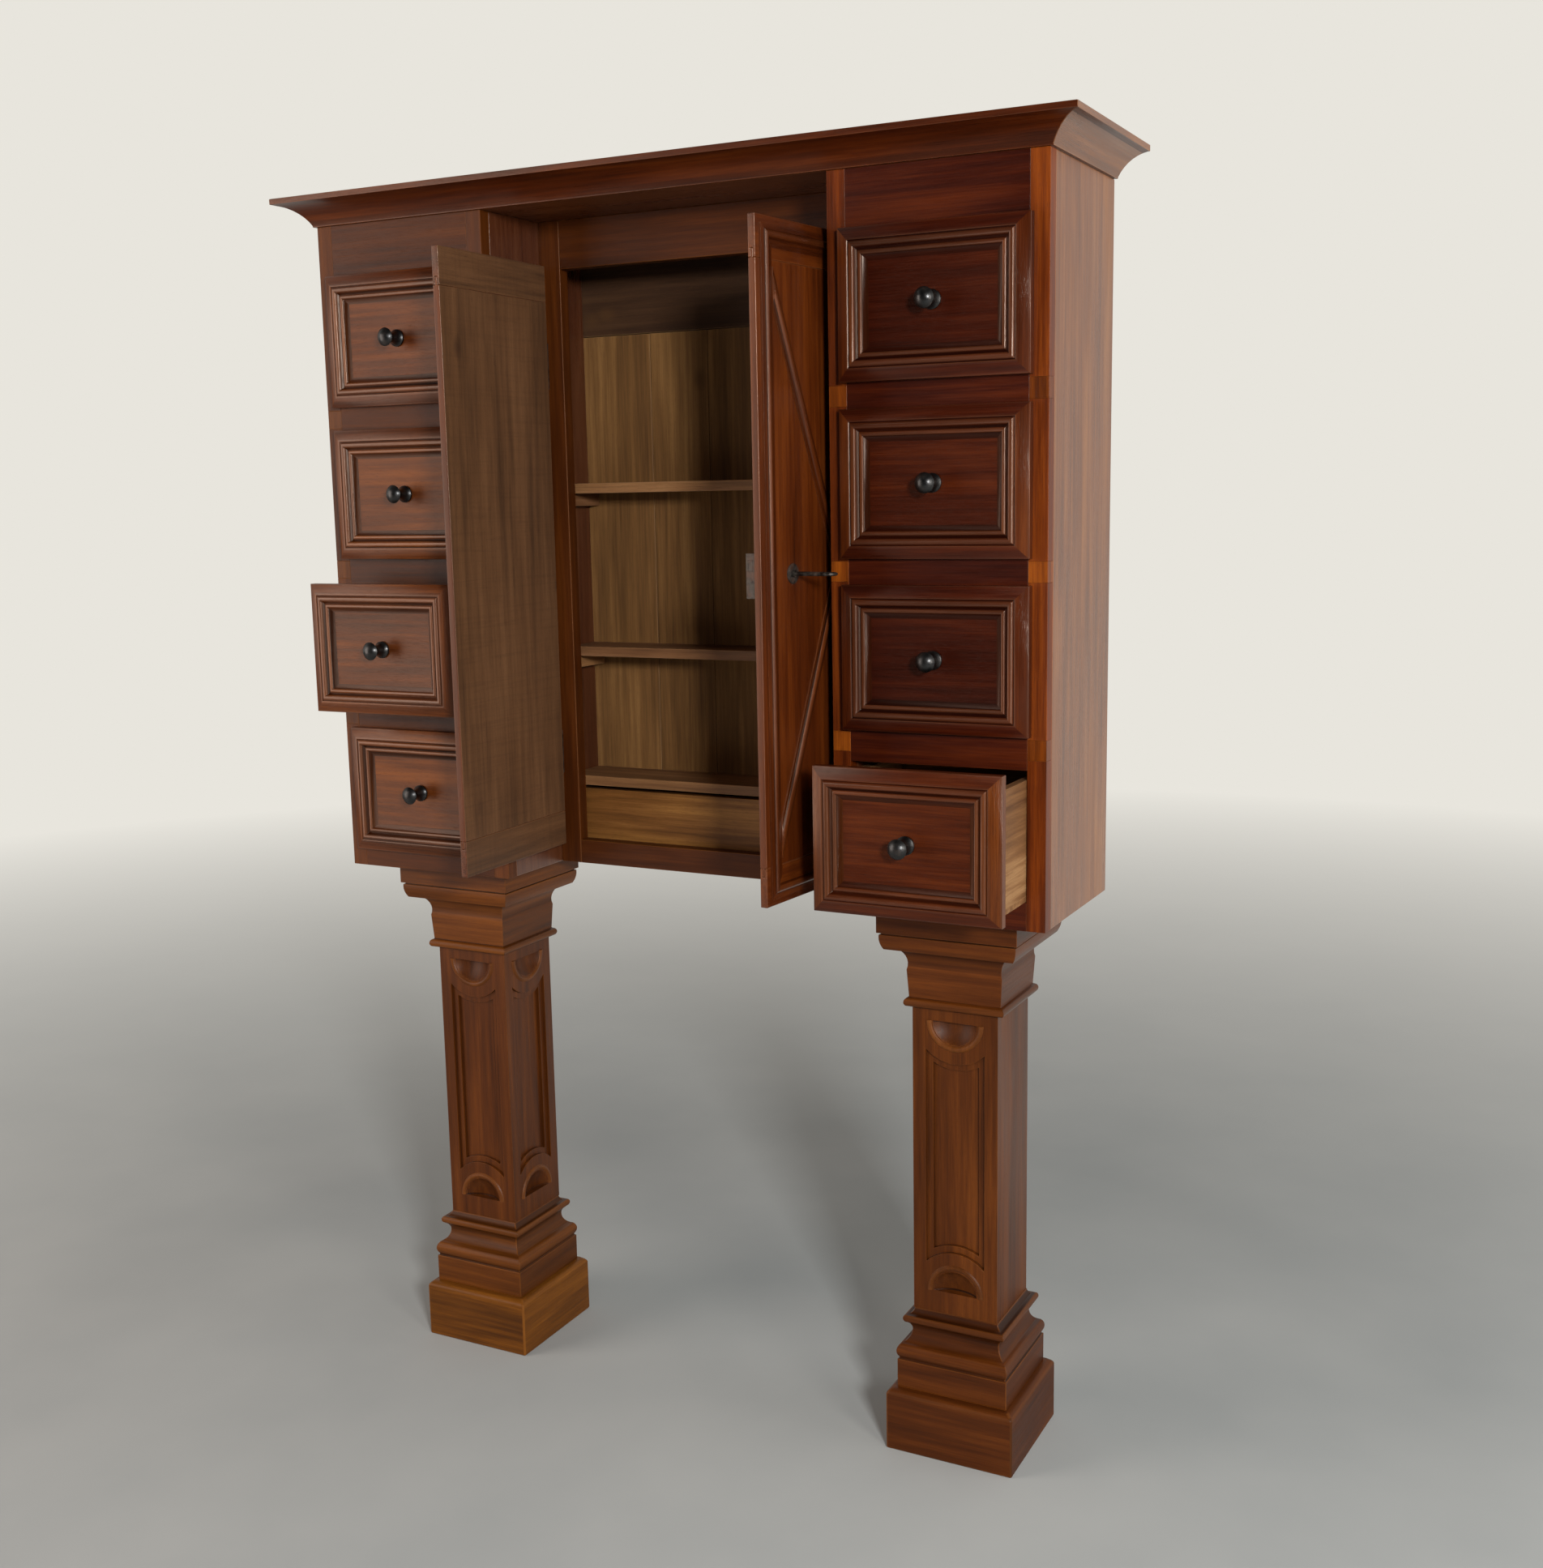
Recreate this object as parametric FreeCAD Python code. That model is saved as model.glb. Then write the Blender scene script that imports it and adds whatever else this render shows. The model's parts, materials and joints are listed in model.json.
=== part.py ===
import FreeCAD, Part
import math
import os

Vector = FreeCAD.Vector

# Case: widths, heights and depths in millimetres
cupboard_width = 572.0
drawer_opening_width = 260.0
drawer_opening_height = 182.0
side_thickness = 27.0
face_thickness = 22.0
rail_height = 55.5
bottom_rail_height = 40.0
frieze_height = 87.5
recess_depth = 151.0
shelf_space_depth = 98.0
back_thickness = 12.0
bottom_thickness = 22.0
top_thickness = 22.0
runner_width = 24.0
drawers_per_bank = 4

# Cornice round the top
cornice_projection = 50.0
cornice_height = 41.0
cornice_shares = [
    ((0.10, 0.0),),
    ((0.10, 0.05),),
    ((0.36, 0.46), (0.94, 0.79)),
    ((1.0, 0.79),),
    ((1.0, 1.0),),
    ((0.0, 1.0),),
]

# Cupboard between the banks
cupboard_stile_width = 38.0
cupboard_header_height = 74.0
cupboard_rail_height = 39.0
cupboard_floor_height = 127.0
lower_space_height = 196.0
middle_space_height = 247.0
shelf_thickness = 16.0
shelf_setback = 12.0
cleat_size = 20.0
apron_thickness = 16.0
apron_setback = 10.0
apron_gap = 7.0
back_board_gap = 0.6
back_top_board_height = 167.0
back_joint_shares = [0.22, 0.405, 0.60, 0.80]

# Drawers
drawer_clearance = 1.0
lip_overlap = 10.0
lip_side_overlap = 6.0
lip_thickness = 12.0
lip_gap = 0.3
tongue_thickness = 14.0
drawer_side_thickness = 12.0
drawer_side_drop = 12.0
drawer_bottom_thickness = 8.0
drawer_back_thickness = 12.0
drawer_rear_gap = 6.0
runner_clearance = 0.3
drawer_travel = 200.0
left_drawers_out = [0.0, 0.0, 75.0, 0.0]
right_drawers_out = [0.0, 0.0, 0.0, 100.0]
dovetail_count = 3
dovetail_depth = 10.0
dovetail_root_share = 0.40
dovetail_tip_share = 0.62
drawer_moulding_width = 45.0
drawer_moulding_height = 12.0
drawer_moulding_shares = [
    ((0.0, 0.10),),
    ((0.18, 0.52), (0.38, 0.80)),
    ((0.42, 0.68),),
    ((0.52, 0.98), (0.62, 0.64)),
    ((0.69, 0.42),),
    ((0.765, 0.62), (0.84, 0.36)),
    ((1.0, 0.0),),
]

# Drawer knobs
knob_rose_radius = 13.0
knob_rose_thickness = 5.0
knob_waist_radius = 7.5
knob_head_radius = 14.0
knob_length = 37.0
knob_shank_radius = 4.95
knob_fit_clearance = 0.05
knob_rose_edge_share = 0.6
knob_waist_share = 0.45
knob_widest_share = 0.80

# Doors
door_thickness = 11.0
door_gap = 0.5
door_overlap = 5.0
meeting_gap = 3.0
clamp_height = 55.0
clamp_tongue_length = 12.0
clamp_tongue_thickness = 4.0
left_door_open_degrees = 88.0
right_door_open_degrees = 84.5
door_limit_degrees = 90.0
door_moulding_margin = 10.0
door_moulding_width = 30.0
door_moulding_height = 6.0
door_moulding_shares = [
    ((0.0, 0.5),),
    ((0.25, 0.5),),
    ((0.43, 1.0), (0.61, 0.5)),
    ((0.78, 0.20), (1.0, 0.0)),
]
lozenge_width = 22.0
lozenge_height = 5.0
lozenge_apex_share = 0.72
lozenge_shares = [
    ((0.0, 0.3),),
    ((0.2, 0.3),),
    ((0.5, 1.0), (0.8, 0.3)),
    ((1.0, 0.3),),
    ((1.0, 0.0),),
]

# Door hinges
hinge_height = 70.0
hinge_end_distance = 118.0
barrel_radius = 4.0
barrel_clearance = 0.3
knuckle_clearance = 0.3
leaf_thickness = 1.5
leaf_gap = 0.5
pin_radius = 2.0
pin_clearance = 0.05
pin_head_radius = 3.2
pin_head_thickness = 1.6

# Lock, key and escutcheon in the right door
lock_width = 90.0
lock_height = 60.0
lock_thickness = 14.0
lock_wall = 2.0
lock_edge_distance = 2.0
key_edge_distance = 79.0
key_shank_radius = 3.0
key_clearance = 0.3
key_reach = 48.0
key_collar_radius = 5.0
key_collar_thickness = 3.0
key_bow_radius = 9.0
key_bow_wire_radius = 2.4
key_bit_length = 6.5
key_bit_thickness = 2.5
key_turn_degrees = 90.0
bolt_length = 55.0
bolt_height = 14.0
bolt_thickness = 7.0
bolt_clearance = 0.3
bolt_throw = 10.0
escutcheon_radius = 14.0
escutcheon_thickness = 1.5

# Pillars
pillar_inward_shift = 7.0
pillar_backward_shift = 12.5
plinth_width = 202.0
plinth_height = 98.0
plinth_bevel_width = 8.0
plinth_bevel_height = 6.0
base_width = 177.0
base_height = 124.0
base_shares = [
    ((0.94, 0.363),),
    ((0.83, 0.363),),
    ((0.83, 0.387),),
    ((1.0, 0.46), (0.81, 0.548)),
    ((0.30, 0.62), (0.125, 0.726)),
    ((0.24, 0.79), (0.52, 0.83)),
    ((0.65, 0.875), (0.55, 0.92)),
    ((0.17, 0.94), (0.0, 1.0)),
]
base_foot_share = 0.94
shaft_width = 133.0
shaft_height = 476.0
capital_width = 215.0
capital_height = 152.0
capital_shares = [
    ((0.22, 0.0),),
    ((0.28, 0.036), (0.22, 0.072)),
    ((0.116, 0.085),),
    ((0.18, 0.36),),
    ((0.27, 0.53), (0.46, 0.58)),
    ((0.80, 0.585),),
    ((0.91, 0.655), (0.93, 0.735)),
    ((0.87, 0.735),),
    ((0.87, 0.755),),
    ((1.0, 0.755),),
    ((1.0, 1.0),),
]

# Sunken panels and lunettes on the pillar shafts
panel_border_width = 10.0
panel_step_depth = 5.0
panel_outer_half_width = 46.0
panel_end_radius = 64.0
lunette_radius = 35.0
lunette_depth = 13.0
lunette_top_distance = 20.0
lunette_foot_distance = 34.0
lunette_bead_radius = 5.0
lunette_bead_gap = 0.5
lunette_bead_sink = 2.5

# One overrun for every cutting shape
overrun = 5.0

# Sizes worked out from the values above
bank_width = drawer_opening_width + 2 * side_thickness
case_width = cupboard_width + 2 * bank_width
case_depth = recess_depth + face_thickness + shelf_space_depth + back_thickness
drawer_pitch = drawer_opening_height + rail_height
case_height = (bottom_rail_height + drawers_per_bank * drawer_pitch - rail_height
               + frieze_height)
case_bottom_z = plinth_height + base_height + shaft_height + capital_height
case_top_z = case_bottom_z + case_height
back_front_y = case_depth - back_thickness
cupboard_back_y = recess_depth + face_thickness
half_cupboard = cupboard_width / 2
half_case = case_width / 2
bank_centre_x = half_cupboard + bank_width / 2

tongue_width = drawer_opening_width - 2 * drawer_clearance
tongue_height = drawer_opening_height - 2 * drawer_clearance
lip_width = drawer_opening_width + 2 * lip_side_overlap
lip_height = drawer_opening_height + 2 * lip_overlap
tongue_back_y = tongue_thickness - lip_gap
lip_front_y = -lip_thickness - lip_gap
runner_height = bottom_rail_height + drawer_clearance - runner_clearance - bottom_thickness
drawer_back_y = back_front_y - drawer_rear_gap
drawer_side_height = tongue_height - drawer_bottom_thickness - drawer_side_drop

door_back_y = recess_depth - door_gap
door_front_y = door_back_y - door_thickness
door_free_x = meeting_gap / 2
door_hinge_x = half_cupboard - 2 * leaf_thickness - leaf_gap
door_bottom_z = case_bottom_z + cupboard_rail_height - door_overlap
door_top_z = case_top_z - cupboard_header_height + door_overlap
door_middle_z = (door_bottom_z + door_top_z) / 2
hinge_axis_x = half_cupboard - barrel_radius - barrel_clearance
hinge_axis_y = door_front_y - barrel_radius - barrel_clearance

floor_z = case_bottom_z + cupboard_floor_height
lower_shelf_z = floor_z + shelf_thickness + lower_space_height
upper_shelf_z = lower_shelf_z + shelf_thickness + middle_space_height
shelf_front_y = cupboard_back_y + shelf_setback

key_x = door_free_x + key_edge_distance
key_z = (case_bottom_z + bottom_rail_height + (drawers_per_bank // 2) * drawer_pitch
         - rail_height / 2)
bolt_z = key_z + key_bit_length + bolt_clearance + bolt_height / 2
bolt_start_x = door_free_x + lock_edge_distance
bolt_front_y = door_back_y + (lock_thickness - bolt_thickness) / 2

pillar_x = bank_centre_x - pillar_inward_shift
pillar_y = case_depth / 2 + pillar_backward_shift
base_z = plinth_height
shaft_z = base_z + base_height
capital_z = shaft_z + shaft_height
shaft_half = shaft_width / 2


# Shared shape helpers

def box(x0, x1, y0, y1, z0, z1):
    return Part.makeBox(x1 - x0, y1 - y0, z1 - z0, Vector(x0, y0, z0))


def outline_edges(start, segments, place):
    """A segment of one point is a line, and one of two points is an arc through the first."""
    edges = []
    here = place(*start)
    for segment in segments:
        points = [place(*point) for point in segment]
        if len(points) == 1:
            edges.append(Part.LineSegment(here, points[0]).toShape())
        else:
            edges.append(Part.Arc(here, points[0], points[1]).toShape())
        here = points[-1]
    return edges, here


def outline_face(start, segments, place):
    edges, end = outline_edges(start, segments, place)
    edges.append(Part.LineSegment(end, place(*start)).toShape())
    return Part.Face(Part.Wire(edges))


def polygon_prism(points, along):
    return Part.Face(Part.makePolygon(points + points[:1])).extrude(along)


def moulding_strip(length, width, height, shares, miters):
    """A strip along X with its width along Y and its height along Z, mitred where asked."""
    face = outline_face((0, 0), shares, lambda u, h: Vector(0, u * width, h * height))
    strip = face.extrude(Vector(length, 0, 0))
    start_cut = width if miters[0] else 0
    end_cut = width if miters[1] else 0
    keep = polygon_prism(
        [Vector(0, 0, -overrun), Vector(length, 0, -overrun),
         Vector(length - end_cut, width, -overrun), Vector(start_cut, width, -overrun)],
        Vector(0, 0, height + 2 * overrun))
    return strip.common(keep)


def set_in_place(shape, origin, along, inward, outward):
    shape.Placement = FreeCAD.Placement(origin, FreeCAD.Rotation(along, inward, outward, "XYZ"))
    return shape


def mitred_border(x0, x1, face_y, z0, z1, width, height, shares):
    """Four mouldings round a rectangle that faces -Y, mitred at its corners."""
    front = Vector(0, -1, 0)
    right = Vector(1, 0, 0)
    up = Vector(0, 0, 1)
    sides = [
        (Vector(x0, face_y, z0), right, up, x1 - x0),
        (Vector(x1, face_y, z0), up, -right, z1 - z0),
        (Vector(x1, face_y, z1), -right, -up, x1 - x0),
        (Vector(x0, face_y, z1), -up, right, z1 - z0),
    ]
    strips = []
    for corner, along, inward, length in sides:
        strip = moulding_strip(length, width, height, shares, (True, True))
        strips.append(set_in_place(strip, corner, along, inward, front))
    return strips


def mirrored(solids):
    return [solid.mirror(Vector(0, 0, 0), Vector(1, 0, 0)) for solid in solids]


def moved(solids, offset):
    for solid in solids:
        solid.translate(offset)
    return solids


# Case boards

def bank_sides():
    outer = box(half_case - side_thickness, half_case, face_thickness, case_depth,
                case_bottom_z, case_top_z)
    inner = box(half_cupboard, half_cupboard + side_thickness, face_thickness, back_front_y,
                case_bottom_z, case_top_z)
    return [outer, inner]


def opening_bottom_z(number):
    """Bottom of a drawer opening, with the top drawer as number 0."""
    steps = drawers_per_bank - 1 - number
    return case_bottom_z + bottom_rail_height + steps * drawer_pitch


def face_frame():
    stile_starts = [half_cupboard, half_case - side_thickness]
    boards = [box(x, x + side_thickness, 0, face_thickness, case_bottom_z, case_top_z)
              for x in stile_starts]
    left = half_cupboard + side_thickness
    right = half_case - side_thickness
    boards.append(box(left, right, 0, face_thickness, case_top_z - frieze_height, case_top_z))
    boards.append(box(left, right, 0, face_thickness, case_bottom_z,
                      case_bottom_z + bottom_rail_height))
    for number in range(drawers_per_bank - 1):
        top = opening_bottom_z(number)
        boards.append(box(left, right, 0, face_thickness, top - rail_height, top))
    return boards


def drawer_runners():
    strips = []
    left = half_cupboard + side_thickness
    right = half_case - side_thickness
    for number in range(drawers_per_bank):
        top = opening_bottom_z(number) + drawer_clearance - runner_clearance
        for start in (left, right - runner_width):
            strips.append(box(start, start + runner_width, face_thickness, back_front_y,
                              top - runner_height, top))
    return strips + mirrored(strips)


def case_bottoms():
    bank = box(half_cupboard + side_thickness, half_case - side_thickness, face_thickness,
               back_front_y, case_bottom_z, case_bottom_z + bottom_thickness)
    middle = box(-half_cupboard, half_cupboard, cupboard_back_y, back_front_y,
                 case_bottom_z, case_bottom_z + bottom_thickness)
    return [bank] + mirrored([bank]) + [middle]


def cupboard_frame():
    inner = half_cupboard - cupboard_stile_width
    stile = box(inner, half_cupboard, recess_depth, cupboard_back_y, case_bottom_z, case_top_z)
    header = box(-inner, inner, recess_depth, cupboard_back_y,
                 case_top_z - cupboard_header_height, case_top_z)
    rail = box(-inner, inner, recess_depth, cupboard_back_y, case_bottom_z,
               case_bottom_z + cupboard_rail_height)
    return [stile] + mirrored([stile]) + [header, rail]


def cupboard_shelves():
    floor = box(-half_cupboard, half_cupboard, cupboard_back_y, back_front_y,
                floor_z, floor_z + shelf_thickness)
    shelves = [box(-half_cupboard, half_cupboard, shelf_front_y, back_front_y,
                   z, z + shelf_thickness) for z in (lower_shelf_z, upper_shelf_z)]
    return [floor] + shelves


def shelf_cleats():
    apron_back_y = cupboard_back_y + apron_setback + apron_thickness
    starts = [(floor_z, apron_back_y), (lower_shelf_z, shelf_front_y),
              (upper_shelf_z, shelf_front_y)]
    cleats = [box(half_cupboard - cleat_size, half_cupboard, y, back_front_y, z - cleat_size, z)
              for z, y in starts]
    return cleats + mirrored(cleats)


def inner_apron():
    front = cupboard_back_y + apron_setback
    return [box(-half_cupboard, half_cupboard, front, front + apron_thickness,
                case_bottom_z + bottom_thickness, floor_z - apron_gap)]


def back_boards():
    middle_edge = half_cupboard + side_thickness / 2
    bank = box(middle_edge + back_board_gap, half_case - side_thickness, back_front_y, case_depth,
               case_bottom_z, case_top_z)
    top_z = case_top_z - back_top_board_height
    boards = [bank] + mirrored([bank])
    boards.append(box(-middle_edge, middle_edge, back_front_y, case_depth, top_z, case_top_z))
    edges = [share * cupboard_width - half_cupboard for share in back_joint_shares]
    starts = [-middle_edge] + [edge + back_board_gap for edge in edges]
    ends = edges + [middle_edge]
    for start, end in zip(starts, ends):
        boards.append(box(start, end, back_front_y, case_depth, case_bottom_z,
                          top_z - back_board_gap))
    return boards


def cornice():
    """A front length and two returns, mitred at the front corners and square at the back."""
    def section(u, h):
        return Vector(0, -u * cornice_projection, case_top_z + h * cornice_height)

    reach = half_case + cornice_projection
    profile = outline_face((0, 0), cornice_shares, section)
    profile.translate(Vector(-reach, 0, 0))
    front = profile.extrude(Vector(2 * reach, 0, 0))
    height = Vector(0, 0, cornice_height + 2 * overrun)
    low_z = case_top_z - overrun
    front = front.common(polygon_prism(
        [Vector(-half_case, 0, low_z), Vector(half_case, 0, low_z),
         Vector(reach, -cornice_projection, low_z), Vector(-reach, -cornice_projection, low_z)],
        height))

    def side_section(u, h):
        return Vector(half_case + u * cornice_projection, -cornice_projection,
                      case_top_z + h * cornice_height)

    side = outline_face((0, 0), cornice_shares, side_section)
    side = side.extrude(Vector(0, case_depth + cornice_projection, 0))
    side = side.common(polygon_prism(
        [Vector(half_case, 0, low_z), Vector(reach, -cornice_projection, low_z),
         Vector(reach, case_depth, low_z), Vector(half_case, case_depth, low_z)],
        height))
    return [front, side] + mirrored([side])


# Drawers, made closed with the middle of the tongue's lower edge at X 0, Z 0

def dovetails(x0, x1, root_y, tip_y):
    """Tails of one side board, which widen from root to tip."""
    pitch = drawer_side_height / dovetail_count
    root = dovetail_root_share * pitch / 2
    tip = dovetail_tip_share * pitch / 2
    tails = []
    for number in range(dovetail_count):
        middle = drawer_bottom_thickness + (number + 1 / 2) * pitch
        tails.append(polygon_prism(
            [Vector(x0, root_y, middle - root), Vector(x0, tip_y, middle - tip),
             Vector(x0, tip_y, middle + tip), Vector(x0, root_y, middle + root)],
            Vector(x1 - x0, 0, 0)))
    return tails


def drawer_tails(x0, x1):
    front = dovetails(x0, x1, tongue_back_y, tongue_back_y - dovetail_depth)
    back = dovetails(x0, x1, drawer_back_y - drawer_back_thickness, drawer_back_y)
    return front, back


def side_spans():
    outer = tongue_width / 2
    inner = outer - drawer_side_thickness
    return [(-outer, -inner), (inner, outer)]


def drawer_front():
    lip_z = -drawer_clearance - lip_overlap
    lip = box(-lip_width / 2, lip_width / 2, lip_front_y, -lip_gap, lip_z, lip_z + lip_height)
    board = lip.fuse(box(-tongue_width / 2, tongue_width / 2, -lip_gap, tongue_back_y,
                         0, tongue_height)).removeSplitter()
    for span in side_spans():
        for tail in drawer_tails(*span)[0]:
            board = board.cut(tail)
    bore = Part.makeCylinder(knob_shank_radius + knob_fit_clearance,
                             tongue_back_y - lip_front_y + 2 * overrun,
                             Vector(0, lip_front_y - overrun, tongue_height / 2),
                             Vector(0, 1, 0))
    border = mitred_border(-lip_width / 2, lip_width / 2, lip_front_y, lip_z, lip_z + lip_height,
                           drawer_moulding_width, drawer_moulding_height, drawer_moulding_shares)
    return [board.cut(bore).Solids[0]] + border


def drawer_box():
    half = tongue_width / 2
    low = drawer_bottom_thickness
    top = low + drawer_side_height
    back_start_y = drawer_back_y - drawer_back_thickness
    back = box(-half, half, back_start_y, drawer_back_y, low, top)
    boards = []
    for x0, x1 in side_spans():
        side = box(x0, x1, tongue_back_y, back_start_y, low, top)
        front_tails, back_tails = drawer_tails(x0, x1)
        for tail in front_tails + back_tails:
            side = side.fuse(tail)
        for tail in back_tails:
            back = back.cut(tail)
        boards.append(side.removeSplitter().Solids[0])
    bottom = box(-half, half, tongue_back_y, drawer_back_y, 0, low)
    return boards + [back.Solids[0], bottom]


def drawer_knob():
    """A turned spool: rose, hollow waist and domed head, with a shank through the front."""
    def section(radius, reach):
        return Vector(radius, lip_front_y - reach, tongue_height / 2)

    edge = knob_rose_thickness * knob_rose_edge_share
    waist = knob_waist_share * knob_length
    widest = knob_widest_share * knob_length
    dome_height = knob_length - widest
    dome_radius = (knob_head_radius ** 2 + dome_height ** 2) / (2 * dome_height)
    dome_centre = knob_length - dome_radius
    half_angle = math.atan2(knob_head_radius, widest - dome_centre) / 2
    dome_point = (dome_radius * math.sin(half_angle),
                  dome_centre + dome_radius * math.cos(half_angle))
    segments = [
        ((knob_rose_radius, 0),),
        ((knob_rose_radius, edge),),
        ((knob_waist_radius + edge, knob_rose_thickness),),
        ((knob_waist_radius, waist), (knob_head_radius, widest)),
        (dome_point, (0, knob_length)),
    ]
    axis_point = Vector(0, lip_front_y, tongue_height / 2)
    spool = outline_face((0, 0), segments, section).revolve(axis_point, Vector(0, 1, 0), 360)
    shank = Part.makeCylinder(knob_shank_radius, tongue_back_y - lip_front_y, axis_point,
                              Vector(0, 1, 0))
    return [spool.fuse(shank).removeSplitter().Solids[0]]


# Doors, made closed on the right and mirrored for the left

def door_boards(bore_for_key):
    low = door_bottom_z + clamp_height
    high = door_top_z - clamp_height
    plank = box(door_free_x, door_hinge_x, door_front_y, door_back_y, low, high)
    tongue_y = (door_front_y + door_back_y - clamp_tongue_thickness) / 2
    clamps = []
    for start, end, tongue_start in ((door_bottom_z, low, low - clamp_tongue_length),
                                     (high, door_top_z, high)):
        tongue = box(door_free_x, door_hinge_x, tongue_y, tongue_y + clamp_tongue_thickness,
                     tongue_start, tongue_start + clamp_tongue_length)
        clamp = box(door_free_x, door_hinge_x, door_front_y, door_back_y, start, end)
        clamps.append(clamp.cut(tongue).Solids[0])
        plank = plank.fuse(tongue)
    plank = plank.removeSplitter()
    if bore_for_key:
        plank = plank.cut(Part.makeCylinder(
            key_shank_radius + key_clearance, door_thickness + 2 * overrun,
            Vector(key_x, door_front_y - overrun, key_z), Vector(0, 1, 0)))
    return [plank.Solids[0]] + clamps


def door_mouldings():
    """A mitred border, and two diagonals that meet inside it towards the hinges."""
    margin = door_moulding_margin
    border = mitred_border(door_free_x + margin, door_hinge_x - margin, door_front_y,
                           door_bottom_z + margin, door_top_z - margin,
                           door_moulding_width, door_moulding_height, door_moulding_shares)
    inset = margin + door_moulding_width
    inner_x0 = door_free_x + inset
    inner_x1 = door_hinge_x - inset
    inner_z0 = door_bottom_z + inset
    inner_z1 = door_top_z - inset
    start_y = door_front_y - lozenge_height - overrun
    apex_x = door_free_x + lozenge_apex_share * (door_hinge_x - door_free_x)
    diagonals = []
    for free_z, z0, z1 in ((door_top_z, door_middle_z, inner_z1),
                           (door_bottom_z, inner_z0, door_middle_z)):
        point = Vector(apex_x, door_front_y, door_middle_z)
        along = Vector(door_free_x, door_front_y, free_z) - point
        length = along.Length + 2 * lozenge_width
        along.normalize()
        inward = Vector(0, -1, 0).cross(along)
        strip = moulding_strip(length, lozenge_width, lozenge_height, lozenge_shares,
                               (False, False))
        origin = point - along * lozenge_width - inward * (lozenge_width / 2)
        set_in_place(strip, origin, along, inward, Vector(0, -1, 0))
        window = box(inner_x0, inner_x1, start_y, door_front_y, z0, z1)
        diagonals.append(strip.common(window).Solids[0])
    return border + diagonals


def hinge_bottoms():
    return [door_bottom_z + hinge_end_distance,
            door_top_z - hinge_end_distance - hinge_height]


def knuckle(z, height, radius):
    return Part.makeCylinder(radius, height, Vector(hinge_axis_x, hinge_axis_y, z))


def hinge_case_leaves():
    third = hinge_height / 3
    clear_y = hinge_axis_y + barrel_radius + knuckle_clearance
    leaves = []
    for z in hinge_bottoms():
        plate = box(half_cupboard - leaf_thickness, half_cupboard, hinge_axis_y, door_back_y,
                    z, z + hinge_height)
        notch = box(half_cupboard - leaf_thickness - overrun, half_cupboard + overrun,
                    hinge_axis_y - overrun, clear_y, z + third, z + 2 * third)
        leaf = plate.cut(notch)
        for start in (z, z + 2 * third):
            leaf = leaf.fuse(knuckle(start, third, barrel_radius))
        bore = knuckle(z - overrun, hinge_height + 2 * overrun, pin_radius + pin_clearance)
        leaves.append(leaf.removeSplitter().cut(bore).Solids[0])
    return leaves


def hinge_door_leaves():
    third = hinge_height / 3
    clear_y = hinge_axis_y + barrel_radius + knuckle_clearance
    leaves = []
    for z in hinge_bottoms():
        low = z + third + knuckle_clearance
        high = z + 2 * third - knuckle_clearance
        plate = box(door_hinge_x, door_hinge_x + leaf_thickness, clear_y, door_back_y,
                    z, z + hinge_height)
        arm = box(door_hinge_x, door_hinge_x + leaf_thickness, hinge_axis_y, clear_y, low, high)
        leaf = plate.fuse(arm).fuse(knuckle(low, high - low, barrel_radius))
        bore = knuckle(z - overrun, hinge_height + 2 * overrun, pin_radius + pin_clearance)
        leaves.append(leaf.removeSplitter().cut(bore).Solids[0])
    return leaves


def hinge_pins():
    pins = []
    for z in hinge_bottoms():
        pin = knuckle(z - pin_head_thickness, hinge_height + 2 * pin_head_thickness, pin_radius)
        for start in (z - pin_head_thickness, z + hinge_height):
            pin = pin.fuse(knuckle(start, pin_head_thickness, pin_head_radius))
        pins.append(pin.removeSplitter().Solids[0])
    return pins


def escutcheon():
    disc_y = door_front_y - escutcheon_thickness
    disc = Part.makeCylinder(escutcheon_radius, escutcheon_thickness,
                             Vector(key_x, disc_y, key_z), Vector(0, 1, 0))
    bore = Part.makeCylinder(key_shank_radius + key_clearance,
                             escutcheon_thickness + 2 * overrun,
                             Vector(key_x, disc_y - overrun, key_z), Vector(0, 1, 0))
    return [disc.cut(bore)]


def lock_case():
    """A rim lock on the inner face, with a keyway pocket and a channel for the bolt."""
    start_x = bolt_start_x
    case = box(start_x, start_x + lock_width, door_back_y, door_back_y + lock_thickness,
               key_z - lock_height / 2, key_z + lock_height / 2)
    keyway = Part.makeCylinder(key_shank_radius + key_clearance, lock_wall + overrun,
                               Vector(key_x, door_back_y - overrun, key_z), Vector(0, 1, 0))
    pocket = Part.makeCylinder(key_bit_length + key_clearance, lock_thickness - 2 * lock_wall,
                               Vector(key_x, door_back_y + lock_wall, key_z), Vector(0, 1, 0))
    channel = box(start_x - overrun, start_x + bolt_length + bolt_clearance,
                  bolt_front_y - bolt_clearance, bolt_front_y + bolt_thickness + bolt_clearance,
                  bolt_z - bolt_height / 2 - bolt_clearance,
                  bolt_z + bolt_height / 2 + bolt_clearance)
    return [case.cut(keyway).cut(pocket).cut(channel).Solids[0]]


def lock_bolt():
    return [box(bolt_start_x, bolt_start_x + bolt_length,
                bolt_front_y, bolt_front_y + bolt_thickness,
                bolt_z - bolt_height / 2, bolt_z + bolt_height / 2)]


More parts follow.
